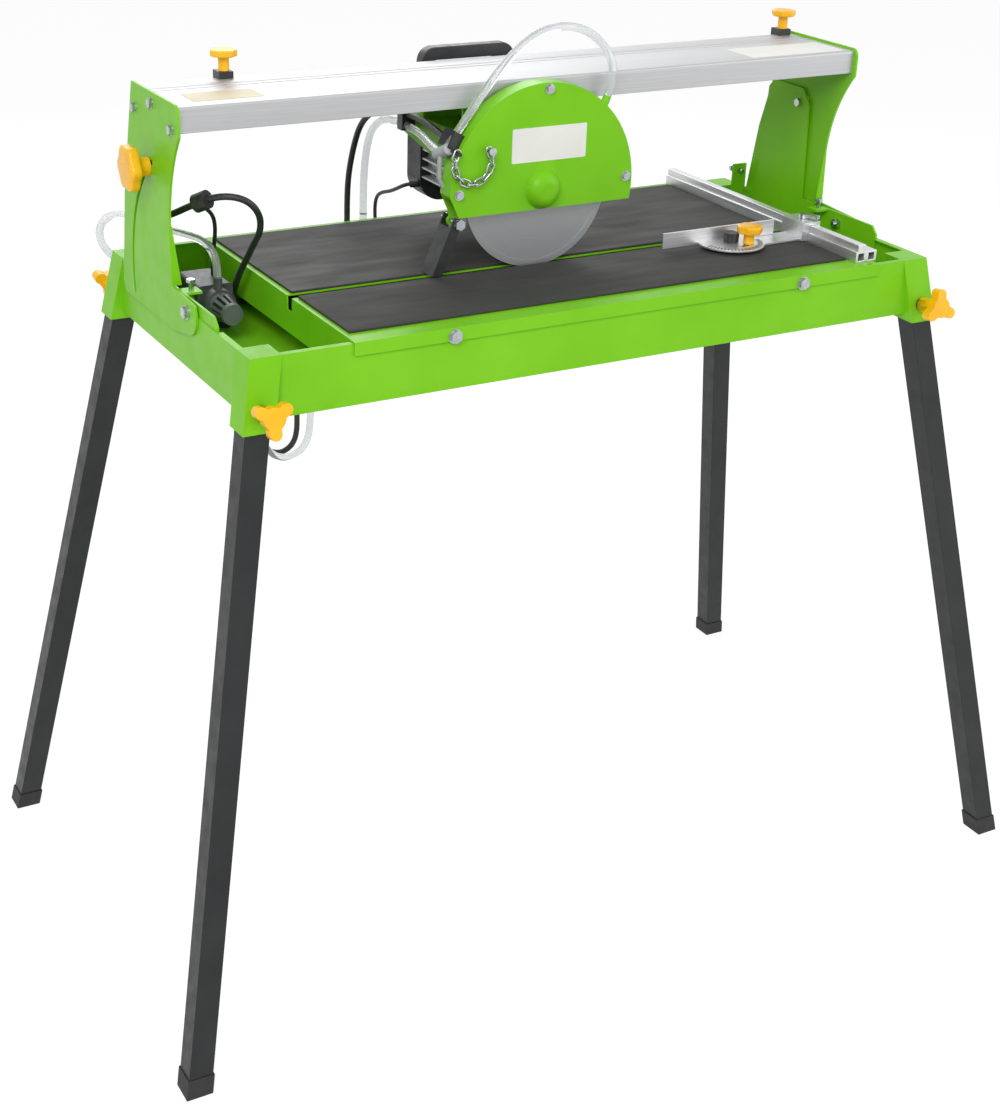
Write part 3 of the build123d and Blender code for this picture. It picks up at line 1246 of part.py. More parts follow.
def gauge_arm():
    """Clamp on the ridge of the fence rail with a flat arm under the protractor."""
    pivot_x, pivot_y = GAUGE_PIVOT
    ridge_left = FENCE_X + FENCE_RIDGE_OFFSET - FENCE_RIDGE_WIDTH / 2
    ridge_right = ridge_left + FENCE_RIDGE_WIDTH
    base_left = FENCE_X - FENCE_WIDTH / 2 - SLIDE_GAP
    front = pivot_y - CLAMP_LENGTH / 2
    back = pivot_y + CLAMP_LENGTH / 2
    low = FENCE_RIDGE_Z + SLIDE_GAP
    top = FENCE_TOP_Z + SLIDE_GAP + CLAMP_WALL
    arm_z = MAT_TOP_Z + GAUGE_ARM_LIFT
    leg_left = base_left - CLAMP_LEG
    arm = block(leg_left, ridge_right + SLIDE_GAP + CLAMP_WALL, front, back, low, top)
    arm -= block(
        ridge_left - SLIDE_GAP, ridge_right + SLIDE_GAP, front, back, low, FENCE_TOP_Z + SLIDE_GAP
    )
    arm += block(leg_left, base_left, front, back, arm_z, top)
    half = GAUGE_ARM_WIDTH / 2
    face = Pos(pivot_x, pivot_y) * Circle(GAUGE_ARM_RADIUS)
    face += polygon(
        (pivot_x, pivot_y - half), (leg_left, pivot_y - half), (leg_left, pivot_y + half), (pivot_x, pivot_y + half)
    )
    arm += slab_xy(face, arm_z, arm_z + GAUGE_SHEET)
    for x, y in (GAUGE_PIVOT, gauge_stud()):
        arm -= rod((x, y, arm_z - 1), (x, y, arm_z + GAUGE_SHEET + 1), GAUGE_STUD_RADIUS)
    x = FENCE_X + FENCE_RIDGE_OFFSET
    return arm - rod((x, pivot_y, FENCE_TOP_Z), (x, pivot_y, top + 1), GAUGE_STUD_RADIUS)


def gauge_fence():
    """Protractor plate with a curved slot and the upright fence on its back edge."""
    pivot_x, pivot_y = GAUGE_PIVOT
    low = gauge_plate_z()
    fence_y = pivot_y + GAUGE_FENCE_Y
    face = Pos(pivot_x, pivot_y) * Circle(GAUGE_RADIUS)
    face -= Pos(pivot_x, fence_y + GAUGE_RADIUS) * Rectangle(3 * GAUGE_RADIUS, 2 * GAUGE_RADIUS)
    face -= arc_slot(GAUGE_PIVOT, GAUGE_SLOT_RADIUS, GAUGE_LOCK_DEG - 48, GAUGE_LOCK_DEG + 22, GAUGE_SLOT_WIDTH)
    face -= Pos(pivot_x, pivot_y) * Circle(GAUGE_STUD_RADIUS)
    plate = slab_xy(face, low, low + GAUGE_SHEET)
    return plate + block(
        pivot_x + GAUGE_FENCE_LEFT,
        pivot_x + GAUGE_FENCE_RIGHT,
        fence_y,
        fence_y + GAUGE_SHEET,
        low,
        low + GAUGE_FENCE_HEIGHT,
    )


def gauge_knobs():
    """Lock knob in the curved slot and the smaller knob on the pivot."""
    arm_z = MAT_TOP_Z + GAUGE_ARM_LIFT
    seat = gauge_plate_z() + GAUGE_SHEET + SLIDE_GAP
    x, y = gauge_stud()
    stem_top = seat + GAUGE_STEM_HEIGHT
    lock = rod((x, y, arm_z), (x, y, seat), GAUGE_STUD_RADIUS - RUNNING_FIT)
    lock += rod((x, y, seat), (x, y, stem_top), GAUGE_STEM_RADIUS)
    star = Pos(x, y) * lobed(GAUGE_CAP_RADIUS, 7, GAUGE_CAP_RADIUS / 4)
    lock += slab_xy(star, stem_top, stem_top + GAUGE_CAP_HEIGHT)
    x, y = GAUGE_PIVOT
    pivot = rod((x, y, arm_z), (x, y, seat), GAUGE_STUD_RADIUS - RUNNING_FIT)
    star = Pos(x, y) * lobed(GAUGE_PIVOT_KNOB_RADIUS, 8, GAUGE_PIVOT_KNOB_RADIUS / 4)
    pivot += slab_xy(star, seat, seat + GAUGE_PIVOT_KNOB_HEIGHT)
    return lock, pivot


def clamp_lever():
    """Small lever on the screw that clamps the gauge to the fence rail."""
    x = FENCE_X + FENCE_RIDGE_OFFSET
    y = GAUGE_Y
    top = FENCE_TOP_Z + SLIDE_GAP + CLAMP_WALL
    high = top + CLAMP_LEVER_RISE
    lever = rod((x, y, FENCE_TOP_Z + SLIDE_GAP), (x, y, high), GAUGE_STUD_RADIUS - RUNNING_FIT)
    lever += rod((x, y, top + SLIDE_GAP), (x, y, high), 2 * GAUGE_STUD_RADIUS)
    face = SlotOverall(CLAMP_LEVER_LENGTH, CLAMP_LEVER_WIDTH)
    half = (CLAMP_LEVER_LENGTH - CLAMP_LEVER_WIDTH) / 2
    place = Pos(x, y) * Rot(0, 0, -60) * Pos(half, 0)
    return lever + slab_xy(place * face, high - CLAMP_WALL, high)


# Pump


def pump_strainer():
    """Tapered basket with lengthwise slits and a closed front end."""
    back = STRAINER_FRONT_Y + STRAINER_LENGTH
    wall = STRAINER_WALL
    outside = ((PUMP_X, STRAINER_FRONT_Y, PUMP_Z), (PUMP_X, back, PUMP_Z))
    basket = rod(*outside, STRAINER_FRONT_RADIUS, STRAINER_BACK_RADIUS)
    inside = ((PUMP_X, STRAINER_FRONT_Y + wall, PUMP_Z), (PUMP_X, back, PUMP_Z))
    basket -= rod(*inside, STRAINER_FRONT_RADIUS - wall, STRAINER_BACK_RADIUS - wall)
    slit = block(
        STRAINER_FRONT_RADIUS - 2 * wall,
        STRAINER_BACK_RADIUS + wall,
        STRAINER_FRONT_Y + 3 * wall,
        back - 3 * wall,
        -wall,
        wall,
    )
    for number in range(STRAINER_SLITS):
        basket -= Pos(PUMP_X, 0, PUMP_Z) * Rot(0, number * 360 / STRAINER_SLITS, 0) * slit
    return basket


def pump_housing():
    """Round collar, box body and the upright nozzle of the pump."""
    collar_y = STRAINER_FRONT_Y + STRAINER_LENGTH
    body_y = collar_y + PUMP_COLLAR_LENGTH
    body = rod((PUMP_X, collar_y, PUMP_Z), (PUMP_X, body_y, PUMP_Z), PUMP_COLLAR_RADIUS)
    face = Pos(PUMP_X, PUMP_Z) * RectangleRounded(PUMP_BODY_WIDTH, PUMP_BODY_HEIGHT, 6)
    body += slab_xz(face, body_y, body_y + PUMP_BODY_LENGTH)
    nozzle_y = collar_y + PUMP_COLLAR_LENGTH / 2
    return body + rod(
        (PUMP_X, nozzle_y, PUMP_Z), (PUMP_X, nozzle_y, PUMP_NOZZLE_TOP_Z), PUMP_NOZZLE_RADIUS
    )


def pump_feet():
    """Rubber suction feet between the pump and the tray floor."""
    body_y = STRAINER_FRONT_Y + STRAINER_LENGTH + PUMP_COLLAR_LENGTH
    top = PUMP_Z - PUMP_BODY_HEIGHT / 2
    low = FLOOR_Z + TRAY_SHEET
    feet = []
    for side in (-1, 1):
        for y in (body_y + PUMP_FOOT_SPREAD, body_y + PUMP_BODY_LENGTH - PUMP_FOOT_SPREAD):
            x = PUMP_X + side * PUMP_FOOT_SPREAD
            feet.append(rod((x, y, low), (x, y, top), PUMP_FOOT_RADIUS, PUMP_FOOT_RADIUS / 2))
    return feet


# Cords: routes are given point by point, and the corners are rounded by tangent arcs

LEFT_X = -END_X
NOZZLE_Y = STRAINER_FRONT_Y + STRAINER_LENGTH + PUMP_COLLAR_LENGTH / 2
HOSE_ROUTE = (
    (PUMP_X, NOZZLE_Y, PUMP_NOZZLE_TOP_Z),
    (PUMP_X, NOZZLE_Y, 864),
    (LEFT_X + 74, 73, 880),
    (LEFT_X + 67, 87, 889),
    (LEFT_X + 57, 107, 890),
    (LEFT_X + 43, 136, 890),
    (LEFT_X + 33, 170, 891),
    (LEFT_X + 21, 205, 893),
    (LEFT_X + 6, 228, 892),
    (LEFT_X - 6, 243, 878),
    (LEFT_X - 8, 250, 857),
    (LEFT_X + 2, 250, 837),
    (LEFT_X + 22, 250, 820),
    (LEFT_X + 50, 250, 794),
    (LEFT_X + 82, 250, 756),
    (LEFT_X + 114, 250, 714),
    (-324, 250, 668),
    (-298, 250, 620),
    (-278, 250, 574),
    (-260, 250, 536),
    (-247, 250, 518),
    (-226, 250, 511),
    (-205, 250, 518),
    (-192, 250, 538),
    (-189, 250, 585),
    (-180, 250, 635),
    (-165, 249, 690),
    (-145, 247, 745),
    (-125, 245, 795),
    (-112, 243, 828),
    (-112, 243, 850),
)
HOSE_RISE_ROUTE = (
    (-112, 243, 850),
    (-112, 243, 872),
    (-111, 243, 905),
    (-109, 240, 938),
    (-109, 226, 966),
    (-109, 200, 984),
    (-111, 170, 992),
    (-115, 140, 996),
    (-116, 108, 997),
    (-118, 78, 997),
    (-125, 45, 997),
    (-135, 10, 997),
    (TEE_X + 4, -20, TEE_Z - 1),
    (TEE_X, -39, TEE_Z),
)
GUARD_HOSE_ROUTE = (
    (TEE_X + 4, -49, TEE_Z + 7),
    (TEE_X + 13, -50, TEE_Z + 18),
    (-121, -50, 1036),
    (-105, -50, 1057),
    (-89, -50, 1077),
    (-71, -50, 1097),
    (-51, -50, 1116),
    (-29, -50, 1130),
    (-5, -50, 1137),
    (20, -50, 1137),
    (44, -50, 1130),
    (64, -50, 1116),
    (79, -50, 1097),
    (84, -50, 1080),
    (PORT_X + 5, -50, PORT_Z + 11.6),
    (PORT_X, -50, PORT_Z),
)
CABLE_ROUTE = (
    (-250, 227, 792),
    (-250, 205, 791),
    (-254, 182, 790),
    (-268, 160, 789),
    (-291, 146, 789),
    (-318, 136, 790),
    (LEFT_X + 125, 118, 792),
    (LEFT_X + 109, 96, 812),
    (LEFT_X + 107, 72, 842),
    (LEFT_X + 110, 48, 872),
    (LEFT_X + 110, 22, 899),
    (LEFT_X + 109, 2, 917),
    (LEFT_X + 104, -10, 939),
    (LEFT_X + 90, -15, 957),
    (LEFT_X + 71, -11, 965),
    (LEFT_X + 52, 5, 962),
    (LEFT_X + 34, 29, 948),
    (LEFT_X + 22, 58, 932),
    (LEFT_X + 18, 94, 919),
    (LEFT_X + 20, 133, 914),
    (LEFT_X + 25, 171, 911),
    (LEFT_X + 31, 207, 905),
    (LEFT_X + 36, 241, 880),
    (LEFT_X + 41, 262, 842),
    (LEFT_X + 50, 264, 805),
    (LEFT_X + 70, 264, 766),
    (LEFT_X + 98, 264, 724),
    (LEFT_X + 129, 264, 682),
    (-313, 264, 636),
    (-291, 264, 590),
    (-274, 264, 558),
    (-260, 264, 534),
    (-248, 264, 520),
    (-231, 264, 514),
    (-214, 264, 521),
    (-205, 264, 538),
    (-204, 264, 572),
    (-206, 264, 612),
    (-198, 262, 662),
    (-183, 258, 715),
    (-164, 252, 768),
    (-143, 246, 812),
    (-136, 243, 834),
    (-136, 243, 850),
)
CABLE_RISE_ROUTE = (
    (-136, 243, 850),
    (-136, 243, 870),
    (-134, 243, 905),
    (-128, 240, 942),
    (-124, 228, 974),
    (-120, 202, 996),
    (-116, 170, 1006),
    (-115, 140, 1010),
    (-115, 108, 1011),
    (-115, 78, 1012),
    (-117, 48, 1011),
    (-122, 18, 1010),
    (-128, -8, 1011),
    (-132, -30, 1012),
)
LEAD_ROOT_ROUTE = (
    (-92, 216, 822),
    (-92, 230, 822),
    (-92, 243, 828),
    (-92, 248, 840),
    (-92, 248, 850),
)
MOTOR_LEAD_ROUTE = (
    (-92, 248, 850),
    (-92, 248, 861),
    (-92, 241, 874),
    (-92, 225, 882),
    (-92, 204, 888),
    (-93, 184, 896),
    (-94, 166, 904),
    (-92, 152, 910),
    (HEAD_X - COVER_HALF_WIDTH, 141, 913),
)
PUMP_LEAD_ROUTE = (
    (PUMP_X + 12, 112, PUMP_Z + PUMP_BODY_HEIGHT / 2),
    (PUMP_X + 12, 112, 850),
    (LEFT_X + 89, 104, 870),
    (LEFT_X + 86, 90, 890),
    (LEFT_X + 80, 73, 909),
    (LEFT_X + 71, 55, 925),
    (LEFT_X + 59, 38, 938),
    (LEFT_X + 45.5, 24.5, 948),
)


def cord(name, diameter, points):
    """Round cord along straight runs joined by tangent arcs, with its tightest bend printed."""
    runs = [Vector(*end) - Vector(*start) for start, end in zip(points, points[1:])]
    radii = []
    for before, after in zip(runs, runs[1:]):
        half_turn = math.radians(before.get_angle(after)) / 2
        radii.append(0.45 * min(before.length, after.length) / math.tan(half_turn))
    path = FilletPolyline(*points, radius=radii)
    section = Plane(origin=path @ 0, z_dir=path % 0) * Circle(diameter / 2)
    tube = sweep(section, path=path)
    filled = tube.volume / (math.pi * diameter**2 / 4 * path.length)
    longest = max(run.length for run in runs)
    print(f"{name}: tightest bend {min(radii):.1f}, longest run {longest:.0f}, volume ratio {filled:.4f}")
    return tube


def grommets(cable, lead):
    """Rubber rings in the back wall, with a flange on each side of the sheet."""
    rings = []
    for (x, z), inner in zip(GROMMET_PLACES, (cable, lead)):
        wall_y = SIDE_Y - TRAY_SHEET / 2
        half = GROMMET_LENGTH / 2
        ring = rod((x, wall_y - half, z), (x, SIDE_Y - TRAY_SHEET, z), GROMMET_RADIUS)
        ring += rod((x, SIDE_Y, z), (x, wall_y + half, z), GROMMET_RADIUS)
        ring += rod((x, SIDE_Y - TRAY_SHEET, z), (x, SIDE_Y, z), GROMMET_WAIST)
        rings.append(ring - inner)
    return rings


def hose_clip(hose, cable):
    """Clip on the guard rim for the hose and the cable, with the pin for the chain."""
    rim = rod(on_axis(GUARD_FRONT_Y), on_axis(GUARD_BACK_Y + 20), GUARD_RADIUS)
    middle_y = (CLIP_FRONT_Y + CLIP_BACK_Y) / 2
    turn = Pos(HEAD_X, middle_y, BLADE_Z) * Rot(0, 90 - CLIP_DEG, 0)
    box = Box(CLIP_LENGTH, CLIP_BACK_Y - CLIP_FRONT_Y, CLIP_HEIGHT)
    body = turn * Pos(0, 0, GUARD_RADIUS + CLIP_STANDOFF) * box
    x, z = chain_pin(-1)
    body += rod((x, middle_y, z), (x, CHAIN_Y - 3 * CHAIN_WIRE, z), CHAIN_PIN_RADIUS)
    return body - rim - hose - cable


def hose_strap(hose, cable):
    """Block on the left flange of the saddle that holds the hose and the cable."""
    right = HEAD_X - SADDLE_HALF_WIDTH
    half = STRAP_LENGTH / 2
    body = block(right - STRAP_WIDTH, right, STRAP_Y - half, STRAP_Y + half, SADDLE_TOP_Z - 20, SADDLE_TOP_Z + 6)
    return body - hose - cable


def hose_tee(rise, onward):
    """Joint of the hoses at the guard, with the thin pipe down to the rim."""
    low = Vector(*HOSE_RISE_ROUTE[-1])
    high = Vector(*GUARD_HOSE_ROUTE[0])
    body = rod(low - Vector(0, -6, 4), high + Vector(0, -6, 0), TEE_RADIUS)
    elbow = low + Vector(-2, -4, -30)
    body += rod(low + Vector(-1, -4, 0), elbow, JET_PIPE_RADIUS)
    rim = rod(on_axis(GUARD_FRONT_Y), on_axis(GUARD_BACK_Y), GUARD_RADIUS)
    body += rod(elbow, (HEAD_X - GUARD_RADIUS + 4, elbow.Y, elbow.Z - 16), JET_PIPE_RADIUS)
    return body - rise - onward - rim


def cable_tie(cable, lead):
    """Wrap that ties the pump lead to the cable."""
    start, end = (Vector(*point) for point in CABLE_ROUTE[15:17])
    along = (end - start).normalized()
    middle = start + along * CABLE_TIE_LENGTH * 0.9
    half = along * CABLE_TIE_LENGTH / 2
    return rod(middle - half, middle + half, CABLE_TIE_RADIUS) - cable - lead


# Cord tubes first, because the clips are cut to fit round them
hose = cord("water_hose", HOSE_DIAMETER, HOSE_ROUTE)
hose_rise = cord("water_hose_rise", HOSE_DIAMETER, HOSE_RISE_ROUTE)
guard_hose = cord("guard_hose", HOSE_DIAMETER, GUARD_HOSE_ROUTE)
cable = cord("power_cable", CABLE_DIAMETER, CABLE_ROUTE)
cable_rise = cord("power_cable_rise", CABLE_DIAMETER, CABLE_RISE_ROUTE)
lead_root = cord("motor_lead_root", LEAD_DIAMETER, LEAD_ROOT_ROUTE)
motor_lead = cord("motor_lead", LEAD_DIAMETER, MOTOR_LEAD_ROUTE)
pump_lead = cord("pump_lead", LEAD_DIAMETER, PUMP_LEAD_ROUTE)
clip = hose_clip(guard_hose, cable_rise)
tee = hose_tee(hose_rise, guard_hose) - clip

save("water_tray", water_tray())
save("leg_sockets", *[leg_socket(*corner) for corner in CORNERS.values()])
save("legs", *[leg(*corner) for corner in CORNERS.values()])
save("foot_caps", *[foot_cap(*corner) for corner in CORNERS.values()])
for place, corner in CORNERS.items():
    save(f"leg_knob_{place}", leg_knob(*corner))

save("saw_table", saw_table())
save("table_mats", *table_mats())
save("fence_rail", fence_rail())
save("tilt_brackets", tilt_bracket(-1), tilt_bracket(1))
save("frame_bolts", *table_bolts(), *stop_screws(), *pivot_bolts(), *lock_studs())
save("tilt_knob_left", tilt_knob(-1))
save("tilt_knob_right", tilt_knob(1))

save("swing_plates", swing_plate(-1), swing_plate(1))
save("bridge_rail", bridge_rail())
save("rail_bolts", *rail_bolts())
for place, x in zip(("left", "right"), STOP_XS):
    save(f"rail_stop_{place}", rail_stop(x))
    save(f"stop_knob_{place}", stop_knob(x))

save("carriage", carriage())
save("roller_axles", *roller_axles())
save("rollers_left", *rollers(-1))
save("rollers_right", *rollers(1))
save("motor_housing", motor_housing())
save("motor_end_cover", motor_end_cover(motor_lead))
save("stator", stator())
save("bearings", *bearings())
save("armature", armature())
save("saw_blade", saw_blade())
save("blade_clamp", *blade_flanges(), blade_nut())
save("guard_shell", guard_shell())
save("guard_cover", guard_cover())
save("head_screws", *pad_screws(), *guard_bolts(), chain_bolt(), flap_hinge())
save("guard_chain", *guard_chain())
save("splash_flap", splash_flap())
save("head_handle", head_handle())
save("switch_lever", switch_lever())

lock_knob, pivot_knob = gauge_knobs()
save("gauge_arm", gauge_arm())
save("gauge_fence", gauge_fence())
save("gauge_lock_knob", lock_knob)
save("gauge_pivot_knob", pivot_knob)
save("clamp_lever", clamp_lever())

save("pump_strainer", pump_strainer())
save("pump_housing", pump_housing())
save("pump_feet", *pump_feet())

save("water_hose", hose)
save("water_hose_rise", hose_rise)
save("guard_hose", guard_hose)
save("power_cable", cable)
save("power_cable_rise", cable_rise)
save("motor_lead_root", lead_root)
save("motor_lead", motor_lead)
save("pump_lead", pump_lead)
save("grommets", *grommets(cable, lead_root))
save("cable_tie", cable_tie(cable, pump_lead))
save("hose_clips", clip, hose_strap(hose_rise, cable_rise))
save("hose_tee", tee)
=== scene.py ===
"""Bridge type wet tile cutter on four splayed legs, dressed for its portrait.

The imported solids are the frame. Metres, X along the rail, Y to the back, Z up.
"""

import json
import math

import bmesh
import bpy
from mathutils import Matrix, Vector

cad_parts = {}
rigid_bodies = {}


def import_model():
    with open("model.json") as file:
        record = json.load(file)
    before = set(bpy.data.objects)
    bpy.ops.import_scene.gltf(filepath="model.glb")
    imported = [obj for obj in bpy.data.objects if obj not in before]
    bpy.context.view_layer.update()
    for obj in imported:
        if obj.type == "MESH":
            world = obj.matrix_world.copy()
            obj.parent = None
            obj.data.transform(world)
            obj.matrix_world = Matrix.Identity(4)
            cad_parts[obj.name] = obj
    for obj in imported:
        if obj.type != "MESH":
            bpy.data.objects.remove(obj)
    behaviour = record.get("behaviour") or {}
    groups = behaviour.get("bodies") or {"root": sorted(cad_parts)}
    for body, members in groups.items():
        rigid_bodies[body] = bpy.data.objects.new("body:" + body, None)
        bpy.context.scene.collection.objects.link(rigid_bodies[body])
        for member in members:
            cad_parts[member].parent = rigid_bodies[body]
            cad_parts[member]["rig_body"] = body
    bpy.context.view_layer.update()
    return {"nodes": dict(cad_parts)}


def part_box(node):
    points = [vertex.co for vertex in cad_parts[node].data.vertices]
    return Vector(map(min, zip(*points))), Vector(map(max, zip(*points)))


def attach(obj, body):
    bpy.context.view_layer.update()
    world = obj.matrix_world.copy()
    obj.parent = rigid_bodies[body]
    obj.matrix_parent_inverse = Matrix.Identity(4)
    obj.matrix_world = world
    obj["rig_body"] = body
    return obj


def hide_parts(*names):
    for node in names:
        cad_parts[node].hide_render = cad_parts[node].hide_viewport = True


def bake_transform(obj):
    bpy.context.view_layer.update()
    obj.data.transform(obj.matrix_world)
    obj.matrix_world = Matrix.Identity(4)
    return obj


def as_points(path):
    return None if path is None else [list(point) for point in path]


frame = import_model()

# Studio. A wide pale floor, a soft key lamp on the left, a fill on the right and a panel
# behind, and the viewpoint of the photograph, found from the tray corners, feet and blade.
scene = bpy.context.scene
scene.view_settings.view_transform = "Standard"


def seen_directly(tree):
    """One where a camera, mirror or glass ray meets the surface, else nought."""
    rays = tree.nodes.new("ShaderNodeLightPath")
    total = rays.outputs["Is Camera Ray"]
    for kind in ("Is Glossy Ray", "Is Transmission Ray"):
        step = tree.nodes.new("ShaderNodeMath")
        step.operation = "MAXIMUM"
        tree.links.new(total, step.inputs[0])
        tree.links.new(rays.outputs[kind], step.inputs[1])
        total = step.outputs[0]
    return total


floor_reach = 30
floor_z = -0.0004
corner_signs = ((-1, -1), (1, -1), (1, 1), (-1, 1))
floor_corners = [(x * floor_reach, y * floor_reach, floor_z) for x, y in corner_signs]
floor_mesh = bpy.data.meshes.new("studio_floor")
floor_mesh.from_pydata(floor_corners, [], [(0, 1, 2, 3)])
floor = bpy.data.objects.new("studio_floor", floor_mesh)
scene.collection.objects.link(floor)
floor_paper = bpy.data.materials.new("studio_paper")
floor_paper.use_nodes = True
paper = floor_paper.node_tree
paper.nodes.clear()
matt = paper.nodes.new("ShaderNodeBsdfDiffuse")
matt.inputs["Color"].default_value = (0.8, 0.8, 0.8, 1)
shaded = paper.nodes.new("ShaderNodeBsdfDiffuse")
shaded.inputs["Color"].default_value = (0.22, 0.22, 0.22, 1)
glow = paper.nodes.new("ShaderNodeEmission")
glow.inputs["Strength"].default_value = 0.85
lifted = paper.nodes.new("ShaderNodeAddShader")
choice = paper.nodes.new("ShaderNodeMixShader")
paper_out = paper.nodes.new("ShaderNodeOutputMaterial")
paper.links.new(shaded.outputs[0], lifted.inputs[0])
paper.links.new(glow.outputs[0], lifted.inputs[1])
paper.links.new(seen_directly(paper), choice.inputs[0])
paper.links.new(matt.outputs[0], choice.inputs[1])
paper.links.new(lifted.outputs[0], choice.inputs[2])
paper.links.new(choice.outputs[0], paper_out.inputs["Surface"])
floor_mesh.materials.append(floor_paper)

sky = bpy.data.worlds.new("studio_sky")
sky.use_nodes = True
scene.world = sky
sky.node_tree.nodes.clear()
even = sky.node_tree.nodes.new("ShaderNodeBackground")
even.inputs["Color"].default_value = (1, 1, 1, 1)
even.inputs["Strength"].default_value = 0.52
white = sky.node_tree.nodes.new("ShaderNodeBackground")
white.inputs["Color"].default_value = (1, 1, 1, 1)
white.inputs["Strength"].default_value = 1.0
sky_choice = sky.node_tree.nodes.new("ShaderNodeMixShader")
sky_out = sky.node_tree.nodes.new("ShaderNodeOutputWorld")
sky.node_tree.links.new(seen_directly(sky.node_tree), sky_choice.inputs[0])
sky.node_tree.links.new(even.outputs[0], sky_choice.inputs[1])
sky.node_tree.links.new(white.outputs[0], sky_choice.inputs[2])
sky.node_tree.links.new(sky_choice.outputs[0], sky_out.inputs["Surface"])

lamp_aim = Vector((0, 0, 0.9))
for name, place, size, power in (
    ("key_lamp", (-2.4, -2.8, 3.6), 2.4, 120.0),
    ("fill_lamp", (3.0, -2.4, 2.2), 2.6, 40.0),
    ("back_lamp", (0.6, 3.0, 3.0), 2.6, 55.0),
):
    lamp_data = bpy.data.lights.new(name, "AREA")
    lamp_data.size = size
    lamp_data.energy = power
    lamp = bpy.data.objects.new(name, lamp_data)
    lamp.location = place
    lamp.rotation_euler = (lamp_aim - Vector(place)).to_track_quat("-Z", "Y").to_euler()
    scene.collection.objects.link(lamp)

eye = (-1.1747, -1.9632, 1.5193)
yaw, pitch, roll = 0.5160, -0.4475, 0.0303
ahead = Vector((math.sin(yaw) * math.cos(pitch), math.cos(yaw) * math.cos(pitch), math.sin(pitch)))
level = Vector((math.cos(yaw), -math.sin(yaw), 0))
upright = level.cross(ahead)
right = math.cos(roll) * level + math.sin(roll) * upright
up = math.cos(roll) * upright - math.sin(roll) * level
camera_data = bpy.data.cameras.new("portrait_camera")
camera_data.sensor_fit = "VERTICAL"
camera_data.sensor_height = 36.0
camera_data.lens = 60.10
camera_data.shift_x = 0.02274
camera = bpy.data.objects.new("portrait_camera", camera_data)
turn = Matrix((right, up, -ahead)).transposed().to_4x4()
camera.matrix_world = Matrix.Translation(eye) @ turn
scene.collection.objects.link(camera)
scene.camera = camera

# Water hoses. Clear soft vinyl hose, 10 mm outside: one length hangs in a loop from the pump
# to the tray's back edge and goes on up to the head, and a short one feeds the guard's top.


def srgb(red, green, blue):
    """Colour given in steps of 0 to 255, as the shader takes it."""
    def straight(step):
        part = step / 255
        return part / 12.92 if part <= 0.04045 else ((part + 0.055) / 1.055) ** 2.4
    return straight(red), straight(green), straight(blue), 1.0


def new_finish(name, colour, roughness, metallic=0.0):
    """Material with one colour, ready for its pattern and grain."""
    material = bpy.data.materials.new(name)
    material.use_nodes = True
    shader = material.node_tree.nodes["Principled BSDF"]
    shader.inputs["Base Color"].default_value = colour
    shader.inputs["Roughness"].default_value = roughness
    shader.inputs["Metallic"].default_value = metallic
    return material


def noise_over(material, scale, stretch=(1, 1, 1), detail=3.0):
    """Noise laid over the piece, in ripples per metre, stretched along an axis where wanted."""
    tree = material.node_tree
    place = tree.nodes.new("ShaderNodeTexCoord")
    mapping = tree.nodes.new("ShaderNodeMapping")
    mapping.inputs["Scale"].default_value = stretch
    noise = tree.nodes.new("ShaderNodeTexNoise")
    noise.inputs["Scale"].default_value = scale
    noise.inputs["Detail"].default_value = detail
    tree.links.new(place.outputs["Object"], mapping.inputs["Vector"])
    tree.links.new(mapping.outputs["Vector"], noise.inputs["Vector"])
    return noise.outputs["Fac"]


def ranged(material, value, low, high, start=0.3, end=0.7):
    """Number that runs from low to high as the pattern runs from start to end."""
    spread = material.node_tree.nodes.new("ShaderNodeMapRange")
    spread.inputs["From Min"].default_value = start
    spread.inputs["From Max"].default_value = end
    spread.inputs["To Min"].default_value = low
    spread.inputs["To Max"].default_value = high
    material.node_tree.links.new(value, spread.inputs["Value"])
    return spread.outputs["Result"]


def mottle(material, value, dark, light, start=0.3, end=0.7):
    """Base colour that wanders between two shades with the pattern."""
    tree = material.node_tree
    ramp = tree.nodes.new("ShaderNodeValToRGB")
    ramp.color_ramp.elements[0].position = start
    ramp.color_ramp.elements[0].color = dark
    ramp.color_ramp.elements[1].position = end
    ramp.color_ramp.elements[1].color = light
    tree.links.new(value, ramp.inputs["Fac"])
    tree.links.new(ramp.outputs["Color"], tree.nodes["Principled BSDF"].inputs["Base Color"])


def gloss(material, value, low, high):
    """Roughness that wanders with the pattern."""
    tree = material.node_tree
    tree.links.new(ranged(material, value, low, high), tree.nodes["Principled BSDF"].inputs["Roughness"])


def relief(material, value, height, strength=1.0):
    """Fine relief as deep as height, in metres."""
    tree = material.node_tree
    bump = tree.nodes.new("ShaderNodeBump")
    bump.inputs["Distance"].default_value = height
    bump.inputs["Strength"].default_value = strength
    tree.links.new(value, bump.inputs["Height"])
    tree.links.new(bump.outputs["Normal"], tree.nodes["Principled BSDF"].inputs["Normal"])


def finish_with(piece, material):
    """The one material of a piece."""
    piece.data.materials.clear()
    piece.data.materials.append(material)


